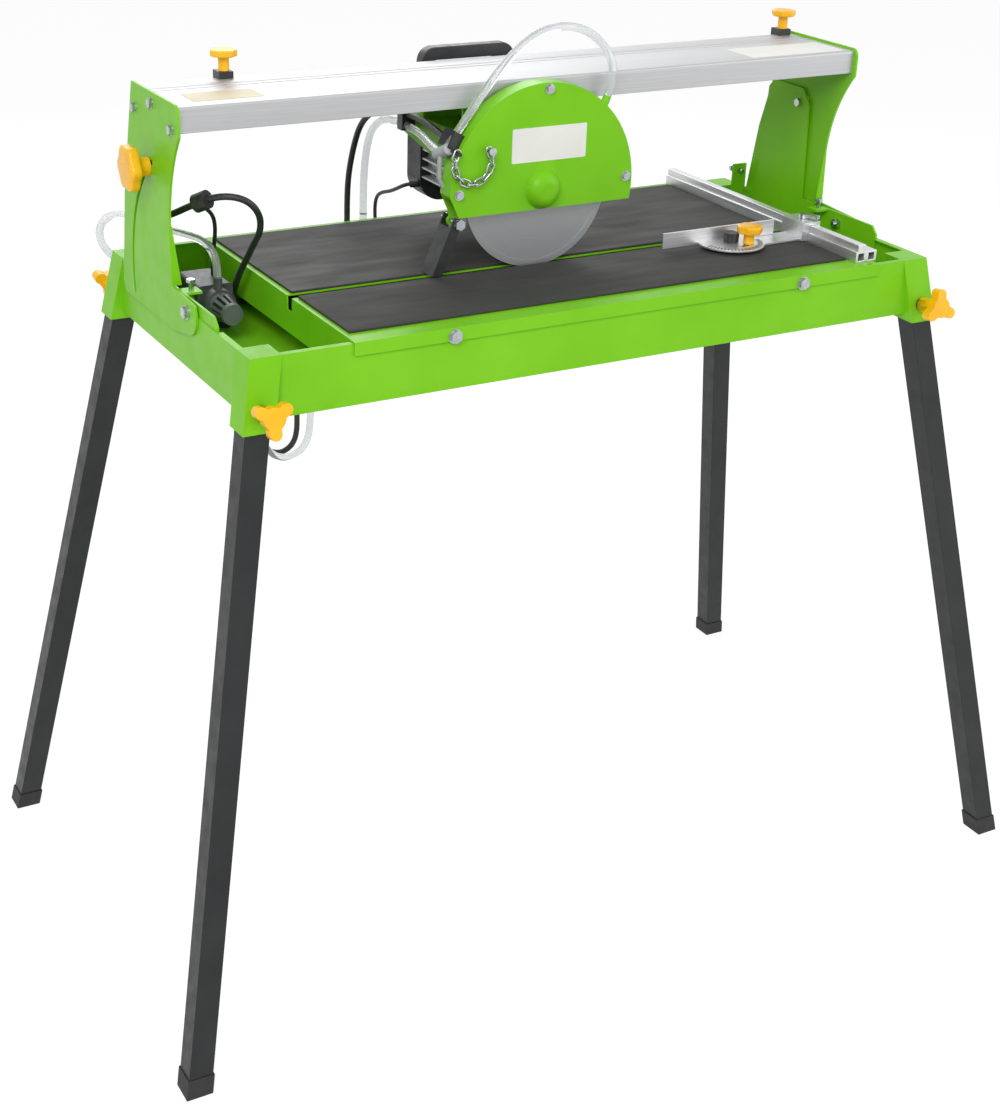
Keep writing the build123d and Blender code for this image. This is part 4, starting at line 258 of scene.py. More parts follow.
def lay_cord(name, node, material, diameter, points):
    """Tube on a smooth line through its route, in place of a solid, with the points of that line."""
    curve = bpy.data.curves.new(name + "_route", "CURVE")
    curve.dimensions = "3D"
    curve.resolution_u = 10
    spline = curve.splines.new("NURBS")
    spline.points.add(len(points) - 1)
    for knot, place in zip(spline.points, points):
        knot.co = (*place, 1)
    spline.order_u = 3
    spline.use_endpoint_u = True
    route = bpy.data.objects.new(name + "_route", curve)
    scene.collection.objects.link(route)
    line = bpy.data.meshes.new_from_object(route.evaluated_get(bpy.context.evaluated_depsgraph_get()))
    path = [tuple(vertex.co) for vertex in line.vertices]
    curve.bevel_depth = diameter / 2
    curve.bevel_resolution = 5
    curve.use_fill_caps = True
    mesh = bpy.data.meshes.new_from_object(route.evaluated_get(bpy.context.evaluated_depsgraph_get()))
    mesh.shade_smooth()
    bpy.data.objects.remove(route)
    bpy.data.meshes.remove(line)
    piece = bpy.data.objects.new(name, mesh)
    scene.collection.objects.link(piece)
    finish_with(piece, material)
    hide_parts(node)
    return piece, path


clear_vinyl = new_finish("clear_vinyl", srgb(232, 235, 236), 0.12)
vinyl = clear_vinyl.node_tree.nodes["Principled BSDF"]
vinyl.inputs["Transmission Weight"].default_value = 0.8
vinyl.inputs["IOR"].default_value = 1.38
vinyl_haze = noise_over(clear_vinyl, 22, detail=1.5)
mottle(clear_vinyl, vinyl_haze, srgb(226, 229, 231), srgb(240, 242, 243))
gloss(clear_vinyl, vinyl_haze, 0.08, 0.16)

hose_loop, hose_loop_path = lay_cord("pump_hose", "water_hose", clear_vinyl, 0.010, (
    (-0.392, 0.065, 0.846), (-0.392, 0.065, 0.864), (-0.396, 0.073, 0.880), (-0.403, 0.087, 0.889),
    (-0.413, 0.107, 0.890), (-0.427, 0.136, 0.890), (-0.437, 0.170, 0.891), (-0.449, 0.205, 0.893),
    (-0.464, 0.228, 0.892), (-0.476, 0.243, 0.878), (-0.478, 0.250, 0.857), (-0.468, 0.250, 0.837),
    (-0.448, 0.250, 0.820), (-0.420, 0.250, 0.794), (-0.388, 0.250, 0.756), (-0.356, 0.250, 0.714),
    (-0.324, 0.250, 0.668), (-0.298, 0.250, 0.620), (-0.278, 0.250, 0.574), (-0.260, 0.250, 0.536),
    (-0.247, 0.250, 0.518), (-0.226, 0.250, 0.511), (-0.205, 0.250, 0.518), (-0.192, 0.250, 0.538),
    (-0.189, 0.250, 0.585), (-0.180, 0.250, 0.635),
    (-0.165, 0.249, 0.690), (-0.145, 0.247, 0.745), (-0.125, 0.245, 0.795), (-0.112, 0.243, 0.828),
    (-0.112, 0.243, 0.850),
))
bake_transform(hose_loop)
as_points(hose_loop_path)

hose_up, hose_up_path = lay_cord("head_hose", "water_hose_rise", clear_vinyl, 0.010, (
    (-0.112, 0.243, 0.850), (-0.112, 0.243, 0.872), (-0.111, 0.243, 0.905), (-0.109, 0.240, 0.938),
    (-0.109, 0.226, 0.966), (-0.109, 0.200, 0.984), (-0.111, 0.170, 0.992), (-0.115, 0.140, 0.996),
    (-0.116, 0.108, 0.997), (-0.118, 0.078, 0.997), (-0.125, 0.045, 0.997), (-0.135, 0.010, 0.997),
    (-0.144, -0.020, 0.998), (-0.148, -0.039, 0.999),
))
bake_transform(hose_up)
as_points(hose_up_path)

guard_feed, guard_feed_path = lay_cord("guard_feed_hose", "guard_hose", clear_vinyl, 0.010, (
    (-0.144, -0.049, 1.006), (-0.135, -0.050, 1.017), (-0.121, -0.050, 1.036), (-0.105, -0.050, 1.057),
    (-0.089, -0.050, 1.077), (-0.071, -0.050, 1.097), (-0.051, -0.050, 1.116), (-0.029, -0.050, 1.130),
    (-0.005, -0.050, 1.137), (0.020, -0.050, 1.137), (0.044, -0.050, 1.130), (0.064, -0.050, 1.116),
    (0.079, -0.050, 1.097), (0.084, -0.050, 1.080), (0.0824, -0.050, 1.062), (0.0774, -0.050, 1.0504),
))
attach(guard_feed, "head")
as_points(guard_feed_path)

# Electric cables. Round black rubber cable, 8 mm for the main run and 5 mm for the motor and
# pump leads, drawn through grommets in the tray's back wall and clipped on the head.
cable_rubber = new_finish("cable_rubber", srgb(38, 38, 40), 0.5)
cable_skin = noise_over(cable_rubber, 240)
mottle(cable_rubber, cable_skin, srgb(30, 30, 32), srgb(50, 50, 52))
gloss(cable_rubber, cable_skin, 0.38, 0.6)
relief(cable_rubber, noise_over(cable_rubber, 1500), 0.0001, 0.4)

cable_loop, cable_loop_path = lay_cord("tray_cable", "power_cable", cable_rubber, 0.008, (
    (-0.250, 0.227, 0.792), (-0.250, 0.205, 0.791), (-0.254, 0.182, 0.790), (-0.268, 0.160, 0.789),
    (-0.291, 0.146, 0.789), (-0.318, 0.136, 0.790), (-0.345, 0.118, 0.792), (-0.361, 0.096, 0.812),
    (-0.363, 0.072, 0.842), (-0.360, 0.048, 0.872), (-0.360, 0.022, 0.899), (-0.361, 0.002, 0.917),
    (-0.366, -0.010, 0.939), (-0.380, -0.015, 0.957), (-0.399, -0.011, 0.965), (-0.418, 0.005, 0.962),
    (-0.436, 0.029, 0.948), (-0.448, 0.058, 0.932), (-0.452, 0.094, 0.919), (-0.450, 0.133, 0.914),
    (-0.445, 0.171, 0.911), (-0.439, 0.207, 0.905), (-0.434, 0.241, 0.880), (-0.429, 0.262, 0.842),
    (-0.420, 0.264, 0.805), (-0.400, 0.264, 0.766), (-0.372, 0.264, 0.724), (-0.341, 0.264, 0.682),
    (-0.313, 0.264, 0.636), (-0.291, 0.264, 0.590), (-0.274, 0.264, 0.558), (-0.260, 0.264, 0.534),
    (-0.248, 0.264, 0.520), (-0.231, 0.264, 0.514), (-0.214, 0.264, 0.521), (-0.205, 0.264, 0.538),
    (-0.204, 0.264, 0.572), (-0.206, 0.264, 0.612), (-0.198, 0.262, 0.662),
    (-0.183, 0.258, 0.715), (-0.164, 0.252, 0.768), (-0.143, 0.246, 0.812), (-0.136, 0.243, 0.834),
    (-0.136, 0.243, 0.850),
))
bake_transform(cable_loop)
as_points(cable_loop_path)

cable_up, cable_up_path = lay_cord("head_cable", "power_cable_rise", cable_rubber, 0.008, (
    (-0.136, 0.243, 0.850), (-0.136, 0.243, 0.870), (-0.134, 0.243, 0.905), (-0.128, 0.240, 0.942),
    (-0.124, 0.228, 0.974), (-0.120, 0.202, 0.996), (-0.116, 0.170, 1.006), (-0.115, 0.140, 1.010),
    (-0.115, 0.108, 1.011), (-0.115, 0.078, 1.012), (-0.117, 0.048, 1.011), (-0.122, 0.018, 1.010),
    (-0.128, -0.008, 1.011), (-0.132, -0.030, 1.012),
))
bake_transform(cable_up)
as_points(cable_up_path)

root, root_path = lay_cord("motor_lead_start", "motor_lead_root", cable_rubber, 0.005, (
    (-0.092, 0.216, 0.822), (-0.092, 0.230, 0.822), (-0.092, 0.243, 0.828), (-0.092, 0.248, 0.840),
    (-0.092, 0.248, 0.850),
))
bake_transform(root)
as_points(root_path)

lead, lead_path = lay_cord("motor_lead_run", "motor_lead", cable_rubber, 0.005, (
    (-0.092, 0.248, 0.850), (-0.092, 0.248, 0.861), (-0.092, 0.241, 0.874), (-0.092, 0.225, 0.882),
    (-0.092, 0.204, 0.888), (-0.093, 0.184, 0.896), (-0.094, 0.166, 0.904), (-0.092, 0.152, 0.910),
    (-0.083, 0.141, 0.913),
))
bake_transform(lead)
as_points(lead_path)

pump_wire, pump_wire_path = lay_cord("pump_wire", "pump_lead", cable_rubber, 0.005, (
    (-0.380, 0.112, 0.835), (-0.380, 0.112, 0.850), (-0.381, 0.104, 0.870), (-0.384, 0.090, 0.890),
    (-0.390, 0.073, 0.909), (-0.399, 0.055, 0.925), (-0.411, 0.038, 0.938), (-0.4245, 0.0245, 0.948),
))
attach(pump_wire, "frame")
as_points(pump_wire_path)

# Water tray. Folded and welded sheet steel, powder coated in apple green, with an inward lip
# and a hole for each grommet and bolt.


def dressed(node, edge, material, where=None, steps=2):
    """Merged copy of a solid with its edges rounded, in place of the solid.

    The edges are the sharp ones, or those that where picks by their middle point.
    """
    same_spot = 2e-6
    flat_turn = math.radians(0.4)
    sharp_turn = math.radians(32)
    solid = frame["nodes"][node]
    mesh = solid.data.copy()
    work = bmesh.new()
    work.from_mesh(mesh)
    bmesh.ops.remove_doubles(work, verts=work.verts, dist=same_spot)
    bmesh.ops.dissolve_limit(work, angle_limit=flat_turn, verts=work.verts, edges=work.edges)
    weight = work.edges.layers.float.new("bevel_weight_edge")
    for side in work.edges:
        sharp = len(side.link_faces) == 2 and side.calc_face_angle() > sharp_turn
        middle = (side.verts[0].co + side.verts[1].co) / 2
        side[weight] = 1.0 if sharp and (where is None or where(middle)) else 0.0
    work.to_mesh(mesh)
    work.free()
    mesh.shade_smooth()
    mesh.set_sharp_from_angle(angle=sharp_turn)
    piece = bpy.data.objects.new(node + "_dressed", mesh)
    scene.collection.objects.link(piece)
    rounding = piece.modifiers.new("rounding", "BEVEL")
    rounding.limit_method = "WEIGHT"
    rounding.width = edge
    rounding.segments = steps
    rounding.loop_slide = False
    rounding.harden_normals = True
    finish_with(piece, material)
    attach(piece, solid["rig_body"])
    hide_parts(node)
    return piece


green_paint = new_finish("green_powder_coat", srgb(120, 196, 26), 0.36)
green_shader = green_paint.node_tree.nodes["Principled BSDF"]
green_shader.inputs["Specular IOR Level"].default_value = 0.16
green_shader.inputs["Coat Weight"].default_value = 0.05
green_shader.inputs["Coat Roughness"].default_value = 0.16
mottle(green_paint, noise_over(green_paint, 9), srgb(115, 191, 20), srgb(125, 200, 31))
gloss(green_paint, noise_over(green_paint, 40), 0.28, 0.42)
relief(green_paint, noise_over(green_paint, 520, detail=1.5), 0.00012, 0.35)
dressed("water_tray", 0.0006, green_paint)

# Leg sockets. Square pockets of folded sheet, welded into the tray's corners and painted with
# it, each with a threaded hole for the clamp knob.
dressed("leg_sockets", 0.0016, green_paint)

# Legs and foot caps. Square steel tube in black powder coat that plugs into the sockets, with
# a pushed-on rubber cap at the floor.
black_paint = new_finish("black_powder_coat", srgb(37, 38, 39), 0.42)
black_paint.node_tree.nodes["Principled BSDF"].inputs["Specular IOR Level"].default_value = 0.3
mottle(black_paint, noise_over(black_paint, 14), srgb(33, 34, 35), srgb(42, 43, 44))
gloss(black_paint, noise_over(black_paint, 60), 0.34, 0.5)
relief(black_paint, noise_over(black_paint, 900, detail=1.5), 0.0001, 0.35)
dressed("legs", 0.0007, black_paint)
cap_rubber = new_finish("cap_rubber", srgb(34, 34, 35), 0.7)
mottle(cap_rubber, noise_over(cap_rubber, 60), srgb(28, 28, 29), srgb(44, 44, 45))
relief(cap_rubber, noise_over(cap_rubber, 1100), 0.00015, 0.4)
dressed("foot_caps", 0.0007, cap_rubber)

# Leg clamp knobs. Three-winged moulded knobs in yellow plastic on a steel stud that presses
# on the leg, each with a black washer between its hub and the socket.


def node_plan(name, **inputs):
    """Node tree with a named input for each number, its inputs by name, and places coming in."""
    plan = bpy.data.node_groups.new(name, "GeometryNodeTree")
    plan.interface.new_socket("shape", in_out="OUTPUT", socket_type="NodeSocketGeometry")
    plan.interface.new_socket("places", in_out="INPUT", socket_type="NodeSocketGeometry")
    for label, value in inputs.items():
        kind = "NodeSocketInt" if isinstance(value, int) else "NodeSocketFloat"
        plan.interface.new_socket(label, in_out="INPUT", socket_type=kind).default_value = value
    return plan, plan.nodes.new("NodeGroupInput").outputs


def put(plan, kind, fill, **options):
    """First output of a new node whose sockets are filled with numbers or with other outputs."""
    node = plan.nodes.new(kind)
    for option, value in options.items():
        setattr(node, option, value)
    for key, value in fill.items():
        if isinstance(value, bpy.types.NodeSocket):
            plan.links.new(value, node.inputs[key])
        else:
            node.inputs[key].default_value = value
    return node.outputs[0]


def reckoner(plan):
    """Function that does a sum with numbers and outputs on the tree, and gives its result."""
    def reckon(operation, *numbers):
        return put(plan, "ShaderNodeMath", dict(enumerate(numbers)), operation=operation)
    return reckon


def close_plan(plan, shape, material):
    """End of a tree: real geometry in one material."""
    real = put(plan, "GeometryNodeRealizeInstances", {"Geometry": shape})
    painted = put(plan, "GeometryNodeSetMaterial", {"Geometry": real, "Material": material})
    plan.links.new(painted, plan.nodes.new("NodeGroupOutput").inputs[0])


def grow(name, plan, settings, places, body):
    """Plain mesh that a tree makes at the places, riding on a body."""
    seeds = bpy.data.meshes.new(name + "_seeds")
    seeds.from_pydata([place for place, facing in places], [], [])
    if places:
        aim = seeds.attributes.new("facing", "FLOAT_VECTOR", "POINT")
        for number, (place, facing) in enumerate(places):
            aim.data[number].vector = facing
    piece = bpy.data.objects.new(name, seeds)
    scene.collection.objects.link(piece)
    growth = piece.modifiers.new("growth", "NODES")
    growth.node_group = plan
    for item in plan.interface.items_tree:
        if item.in_out == "INPUT" and item.name in settings:
            growth[item.identifier] = settings[item.name]
    mesh = bpy.data.meshes.new_from_object(piece.evaluated_get(bpy.context.evaluated_depsgraph_get()))
    piece.modifiers.clear()
    piece.data = mesh
    bpy.data.meshes.remove(seeds)
    if mesh.materials[0] is None:
        mesh.materials.pop(index=0)
    mesh.shade_smooth()
    mesh.set_sharp_from_angle(angle=math.radians(40))
    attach(piece, body)
    return piece


def washer_plan(name, material):
    """Flat washers, one at each place, facing the way its bolt does."""
    plan, given = node_plan(name, outer_radius=0.006, bore_radius=0.003, thickness=0.001)
    reckon = reckoner(plan)
    outer, bore = given["outer_radius"], given["bore_radius"]
    middle = reckon("MULTIPLY", reckon("ADD", outer, bore), 0.5)
    ring = put(plan, "GeometryNodeCurvePrimitiveCircle", {"Radius": middle, "Resolution": 40})
    level_ring = put(plan, "GeometryNodeSetCurveNormal", {"Curve": ring}, mode="Z_UP")
    band_size = {"Width": reckon("SUBTRACT", outer, bore), "Height": given["thickness"]}
    band = put(plan, "GeometryNodeCurvePrimitiveQuadrilateral", band_size)
    washer = put(plan, "GeometryNodeCurveToMesh", {"Curve": level_ring, "Profile Curve": band})
    facing = put(plan, "GeometryNodeInputNamedAttribute", {"Name": "facing"}, data_type="FLOAT_VECTOR")
    aim = put(plan, "FunctionNodeAlignRotationToVector", {"Vector": facing}, axis="Z")
    spread = {"Points": given["places"], "Instance": washer, "Rotation": aim}
    laid = put(plan, "GeometryNodeInstanceOnPoints", spread)
    close_plan(plan, laid, material)
    return plan


leg_washer_plan = washer_plan("leg_washers", cap_rubber)
leg_washer_places = []
yellow_plastic = new_finish("yellow_moulding", srgb(250, 184, 12), 0.3)
mottle(yellow_plastic, noise_over(yellow_plastic, 30), srgb(247, 178, 8), srgb(253, 192, 20))
gloss(yellow_plastic, noise_over(yellow_plastic, 90), 0.24, 0.36)
relief(yellow_plastic, noise_over(yellow_plastic, 1400), 0.00008, 0.3)
stud_slope = 0.165
stud_y, stud_z = 0.23173, 0.788
collar_radius = 0.0100
washer_middle = 0.0015
for corner in ("front_left", "front_right", "back_left", "back_right"):
    node = "leg_knob_" + corner
    low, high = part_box(node)
    side_y = 1 if corner.startswith("back") else -1
    axis = Vector((0, side_y, stud_slope)).normalized()
    on_axis = Vector(((low.x + high.x) / 2, side_y * stud_y, stud_z))

    def is_wing_edge(middle):
        """Edges of the wings stand further from the stud than its collar does."""
        away = middle - on_axis
        return (away - axis * away.dot(axis)).length > collar_radius

    dressed(node, 0.0026, yellow_plastic, is_wing_edge, steps=3)
    leg_washer_places.append((on_axis + axis * washer_middle, axis))
leg_washer_sizes = {"outer_radius": 0.0085, "bore_radius": 0.0045, "thickness": 0.0028}
grow("leg_washers", leg_washer_plan, leg_washer_sizes, leg_washer_places, "frame")

# Cutting table. Folded sheet top in the same green, screwed to the tray's front wall, with a
# slit for the blade along its length.
dressed("saw_table", 0.0008, green_paint)

# Table mats. Two sheets of black rubber glued on both sides of the slit, worn to a dark grey
# in streaks along the cut.
mat_rubber = new_finish("mat_rubber", srgb(54, 54, 55), 0.7)
mat_rubber.node_tree.nodes["Principled BSDF"].inputs["Specular IOR Level"].default_value = 0.32
mat_streaks = noise_over(mat_rubber, 16, stretch=(0.4, 1.7, 1), detail=6)
mottle(mat_rubber, mat_streaks, srgb(48, 47, 47), srgb(60, 59, 58), 0.25, 0.78)
gloss(mat_rubber, noise_over(mat_rubber, 24, stretch=(0.4, 1.7, 1)), 0.6, 0.76)
relief(mat_rubber, noise_over(mat_rubber, 1300), 0.0002, 0.45)
dressed("table_mats", 0.0008, mat_rubber)

# Fence rail. Extruded aluminium bar with a ridge and two cells, screwed across the right end
# of the table.
cross_aluminium = new_finish("aluminium_drawn_across", srgb(214, 215, 217), 0.36, 0.85)
across_lines = noise_over(cross_aluminium, 260, stretch=(3, 0.04, 3))
mottle(cross_aluminium, across_lines, srgb(200, 201, 203), srgb(228, 229, 230))
gloss(cross_aluminium, across_lines, 0.3, 0.44)
relief(cross_aluminium, across_lines, 0.00006, 0.5)
dressed("fence_rail", 0.0006, cross_aluminium)

# Angle gauge. A clamp with a flat arm slides on the fence rail, and a pressed aluminium
# protractor with an upright fence turns on it. Ticks are printed along the protractor's edge.
long_aluminium = new_finish("aluminium_drawn_along", srgb(216, 217, 219), 0.36, 0.85)
along_lines = noise_over(long_aluminium, 260, stretch=(0.04, 3, 3))
mottle(long_aluminium, along_lines, srgb(202, 203, 205), srgb(230, 231, 232))
gloss(long_aluminium, along_lines, 0.3, 0.44)
relief(long_aluminium, along_lines, 0.00006, 0.5)
dressed("gauge_arm", 0.0006, long_aluminium)
dressed("gauge_fence", 0.0005, long_aluminium)


def tick_plan(name, material):
    """Short bars that point at a middle, at equal turns on an arc about it."""
    plan, given = node_plan(
        name, ticks=25, reach=0.038, start=0.0, sweep=3.0, length=0.007, width=0.0011, height=0.0003,
    )
    reckon = reckoner(plan)
    points = put(plan, "GeometryNodePoints", {"Count": given["ticks"]})
    number = put(plan, "GeometryNodeInputIndex", {})
    share = reckon("DIVIDE", number, reckon("SUBTRACT", given["ticks"], 1))
    turn = reckon("MULTIPLY_ADD", share, given["sweep"], given["start"])
    away = put(plan, "ShaderNodeCombineXYZ", {"X": reckon("COSINE", turn), "Y": reckon("SINE", turn)})
    place = put(plan, "ShaderNodeVectorMath", {0: away, "Scale": given["reach"]}, operation="SCALE")
    placed = put(plan, "GeometryNodeSetPosition", {"Geometry": points, "Position": place})
    sizes = {"X": given["length"], "Y": given["width"], "Z": given["height"]}
    bar = put(plan, "GeometryNodeMeshCube", {"Size": put(plan, "ShaderNodeCombineXYZ", sizes)})
    spin = put(plan, "ShaderNodeCombineXYZ", {"Z": turn})
    aim = put(plan, "FunctionNodeEulerToRotation", {"Euler": spin})
    laid = put(plan, "GeometryNodeInstanceOnPoints", {"Points": placed, "Instance": bar, "Rotation": aim})
    close_plan(plan, laid, material)
    return plan


tick_ink = new_finish("tick_ink", srgb(34, 34, 35), 0.5)
mottle(tick_ink, noise_over(tick_ink, 400), srgb(28, 28, 29), srgb(44, 44, 45))
tick_sizes = {"reach": 0.0380, "start": math.radians(-170), "sweep": math.radians(160)}
ticks = grow("gauge_ticks", tick_plan("gauge_ticks", tick_ink), tick_sizes, [],
             frame["nodes"]["gauge_fence"]["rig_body"])
protractor_middle = (0.254, -0.090, 0.8580)
ticks.data.transform(Matrix.Translation(protractor_middle))


def knob_plan(name, material):
    """Moulded knob on its stem: a rounded disc whose rim waves in and out once a lobe."""
    plan, given = node_plan(
        name, lobes=6, radius=0.028, dip=0.1, height=0.016, crown=0.4, stem_radius=0.01, stem=0.014,
    )
    reckon = reckoner(plan)
    sheet_size = {"Size X": 1, "Size Y": 1, "Vertices X": 145, "Vertices Y": 33}
    sheet = put(plan, "GeometryNodeMeshGrid", sheet_size)
    spot = plan.nodes.new("ShaderNodeSeparateXYZ")
    plan.links.new(put(plan, "GeometryNodeInputPosition", {}), spot.inputs[0])
    turn = reckon("MULTIPLY", spot.outputs["X"], 2 * math.pi)
    rise = reckon("MULTIPLY_ADD", spot.outputs["Y"], math.pi, math.pi / 2)
    reach = reckon("POWER", reckon("MAXIMUM", reckon("SINE", rise), 0.0), given["crown"])
    level_part = reckon("COSINE", rise)
    steep = reckon("POWER", reckon("ABSOLUTE", level_part), given["crown"])
    tall = reckon("MULTIPLY", steep, reckon("SIGN", reckon("MULTIPLY", level_part, -0.5)))
    wave = reckon("COSINE", reckon("MULTIPLY", turn, given["lobes"]))
    dip = reckon("MULTIPLY", reckon("MULTIPLY_ADD", wave, -0.5, 0.5), given["dip"])
    rim = reckon("MULTIPLY", given["radius"], reckon("SUBTRACT", 1.0, dip))
    out = reckon("MULTIPLY", rim, reach)
    half = reckon("MULTIPLY", given["height"], 0.5)
    centre = reckon("ADD", given["stem"], half)
    spot_x = reckon("MULTIPLY", out, reckon("COSINE", turn))
    spot_y = reckon("MULTIPLY", out, reckon("SINE", turn))
    spot_z = reckon("MULTIPLY_ADD", tall, half, centre)
    place = put(plan, "ShaderNodeCombineXYZ", {"X": spot_x, "Y": spot_y, "Z": spot_z})
    disc = put(plan, "GeometryNodeSetPosition", {"Geometry": sheet, "Position": place})
    closed = put(plan, "GeometryNodeMergeByDistance", {"Geometry": disc, "Distance": 0.00002})
    stem_depth = reckon("ADD", given["stem"], reckon("MULTIPLY", half, 0.5))
    pillar_size = {"Vertices": 40, "Radius": given["stem_radius"], "Depth": stem_depth}
    pillar = put(plan, "GeometryNodeMeshCylinder", pillar_size)
    lift = put(plan, "ShaderNodeCombineXYZ", {"Z": reckon("MULTIPLY", stem_depth, 0.5)})
    stem = put(plan, "GeometryNodeTransform", {"Geometry": pillar, "Translation": lift})
    joined = plan.nodes.new("GeometryNodeJoinGeometry")
    plan.links.new(closed, joined.inputs[0])
    plan.links.new(stem, joined.inputs[0])
    close_plan(plan, joined.outputs[0], material)
    return plan


def moulded_knob(node, seat, facing, sizes):
    """Knob grown on its seat, in place of the plain solid."""
    body = frame["nodes"][node]["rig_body"]
    piece = grow(node + "_moulded", yellow_knob_plan, sizes, [], body)
    turned = Vector(facing).to_track_quat("Z", "Y").to_matrix().to_4x4()
    piece.data.transform(Matrix.Translation(seat) @ turned)
    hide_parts(node)


yellow_knob_plan = knob_plan("lobed_knob", yellow_plastic)
lock_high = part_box("gauge_lock_knob")[1]
lock_sizes = {
    "lobes": 7, "radius": 0.0168, "dip": 0.08, "height": 0.011, "crown": 0.34,
    "stem_radius": 0.007, "stem": 0.013,
}
lock_seat = (0.27026, -0.10626, lock_high.z - lock_sizes["stem"] - lock_sizes["height"])
moulded_knob("gauge_lock_knob", lock_seat, (0, 0, 1), lock_sizes)
black_plastic = new_finish("black_moulding", srgb(40, 40, 42), 0.42)
mottle(black_plastic, noise_over(black_plastic, 30), srgb(34, 34, 36), srgb(50, 50, 52))
gloss(black_plastic, noise_over(black_plastic, 90), 0.34, 0.52)
relief(black_plastic, noise_over(black_plastic, 1600), 0.0001, 0.4)
knob_foot_z = 0.8581
dressed("gauge_pivot_knob", 0.0022, black_plastic,
        lambda middle: middle.z > knob_foot_z, steps=3)
zinc_steel = new_finish("zinc_plated_steel", srgb(180, 184, 188), 0.26, 1.0)
zinc_bloom = noise_over(zinc_steel, 220)
mottle(zinc_steel, zinc_bloom, srgb(166, 171, 176), srgb(196, 199, 203))
gloss(zinc_steel, zinc_bloom, 0.2, 0.34)
relief(zinc_steel, noise_over(zinc_steel, 2200), 0.00004, 0.4)
dressed("clamp_lever", 0.0008, zinc_steel)

# Tilt brackets and swing plates. Laser cut and folded green sheet: a bracket is bolted inside
# each end wall, and the bridge's upright swings on it about the line of the slit.
dressed("tilt_brackets", 0.0009, green_paint)
dressed("swing_plates", 0.0010, green_paint)

# Bridge rail. One length of extruded aluminium channel with two sight grooves on top, milled
# off at the ends and bolted between the uprights, with a blank foil plate stuck on each end.
rail_aluminium = new_finish("rail_aluminium", srgb(184, 185, 187), 0.46, 0.6)
rail_lines = noise_over(rail_aluminium, 300, stretch=(0.03, 3, 3))
mottle(rail_aluminium, rail_lines, srgb(178, 179, 181), srgb(191, 192, 194))
gloss(rail_aluminium, rail_lines, 0.42, 0.52)
relief(rail_aluminium, rail_lines, 0.00004, 0.3)
dressed("bridge_rail", 0.0006, rail_aluminium)


def plain_plate(name, low, high, body, foil):
    """Thin blank plate with rounded corners, lying on the face it is fixed to."""
    mesh = bpy.data.meshes.new(name)
    work = bmesh.new()
    bmesh.ops.create_cube(work, size=1.0)
    spans = [high[n] - low[n] for n in range(3)]
    thin = spans.index(min(spans))
    upright = [side for side in work.edges if abs((side.verts[0].co - side.verts[1].co)[thin]) > 0.5]
    for corner in work.verts:
        corner.co = [low[n] + (corner.co[n] + 0.5) * spans[n] for n in range(3)]
    bmesh.ops.bevel(work, geom=upright, offset=0.002, segments=4, affect="EDGES", profile=0.5)
    work.to_mesh(mesh)
    work.free()
    piece = bpy.data.objects.new(name, mesh)
    scene.collection.objects.link(piece)
    finish_with(piece, foil)
    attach(piece, body)


blank_foil = new_finish("blank_foil", srgb(226, 226, 220), 0.5)
mottle(blank_foil, noise_over(blank_foil, 18), srgb(222, 222, 216), srgb(230, 230, 224))
relief(blank_foil, noise_over(blank_foil, 900), 0.00005, 0.3)
plain_plate("rail_plate_right", (0.312, -0.027, 1.0760), (0.460, 0.034, 1.0763), "bridge", blank_foil)
tan_foil = new_finish("tan_foil", srgb(196, 184, 150), 0.45)
mottle(tan_foil, noise_over(tan_foil, 18), srgb(190, 177, 142), srgb(203, 191, 158))
relief(tan_foil, noise_over(tan_foil, 900), 0.00005, 0.3)
plain_plate("rail_plate_left", (-0.443, -0.013, 1.0760), (-0.358, 0.030, 1.0763), "bridge", tan_foil)

# Bolts. Zinc plated hexagon bolts and adjusting screws, with pressed washers under the heads
# that show.
dressed("frame_bolts", 0.0005, zinc_steel)
dressed("rail_bolts", 0.0005, zinc_steel)
dressed("head_screws", 0.0004, zinc_steel)
steel_washer_plan = washer_plan("steel_washers", zinc_steel)
table_spots = [((x, -0.2246, 0.8385), (0, -1, 0)) for x in (-0.222, 0.269)]
pivot_spots = [((side * 0.4739, -0.046, 0.847), (side, 0, 0)) for side in (-1, 1)]
table_washer = {"outer_radius": 0.0085, "bore_radius": 0.0042, "thickness": 0.0012}
grow("table_washers", steel_washer_plan, table_washer, table_spots, "frame")
grow("pivot_washers", steel_washer_plan, table_washer, pivot_spots, "frame")
rail_spots = [((side * 0.4736, y, z), (side, 0, 0))
              for side in (-1, 1) for y, z in ((0.100, 1.050), (0.042, 1.066), (-0.020, 1.049))]
rail_washer = {"outer_radius": 0.0064, "bore_radius": 0.0032, "thickness": 0.0010}
grow("rail_washers", steel_washer_plan, rail_washer, rail_spots, "bridge")
guard_spots = [((x, -0.0633, z), (0, -1, 0))
               for x, z in ((-0.0130, 1.0679), (0.1025, 0.9520), (-0.1330, 0.9511))]
flap_hinge_spot = ((-0.131, -0.0610, 0.915), (0, -1, 0))
guard_spots.append(flap_hinge_spot)
grow("guard_washers", steel_washer_plan, rail_washer, guard_spots, "head")

# Tilt knobs. Six-lobed moulded knobs in the same yellow, screwed on the lock studs outside the
# uprights.
tilt_sizes = {
    "lobes": 6, "radius": 0.0278, "dip": 0.13, "height": 0.016, "crown": 0.42,
    "stem_radius": 0.011, "stem": 0.014,
}
for side, facing_x in (("left", -1), ("right", 1)):
    moulded_knob("tilt_knob_" + side, (facing_x * 0.4736, 0.06172, 0.98996), (facing_x, 0, 0), tilt_sizes)

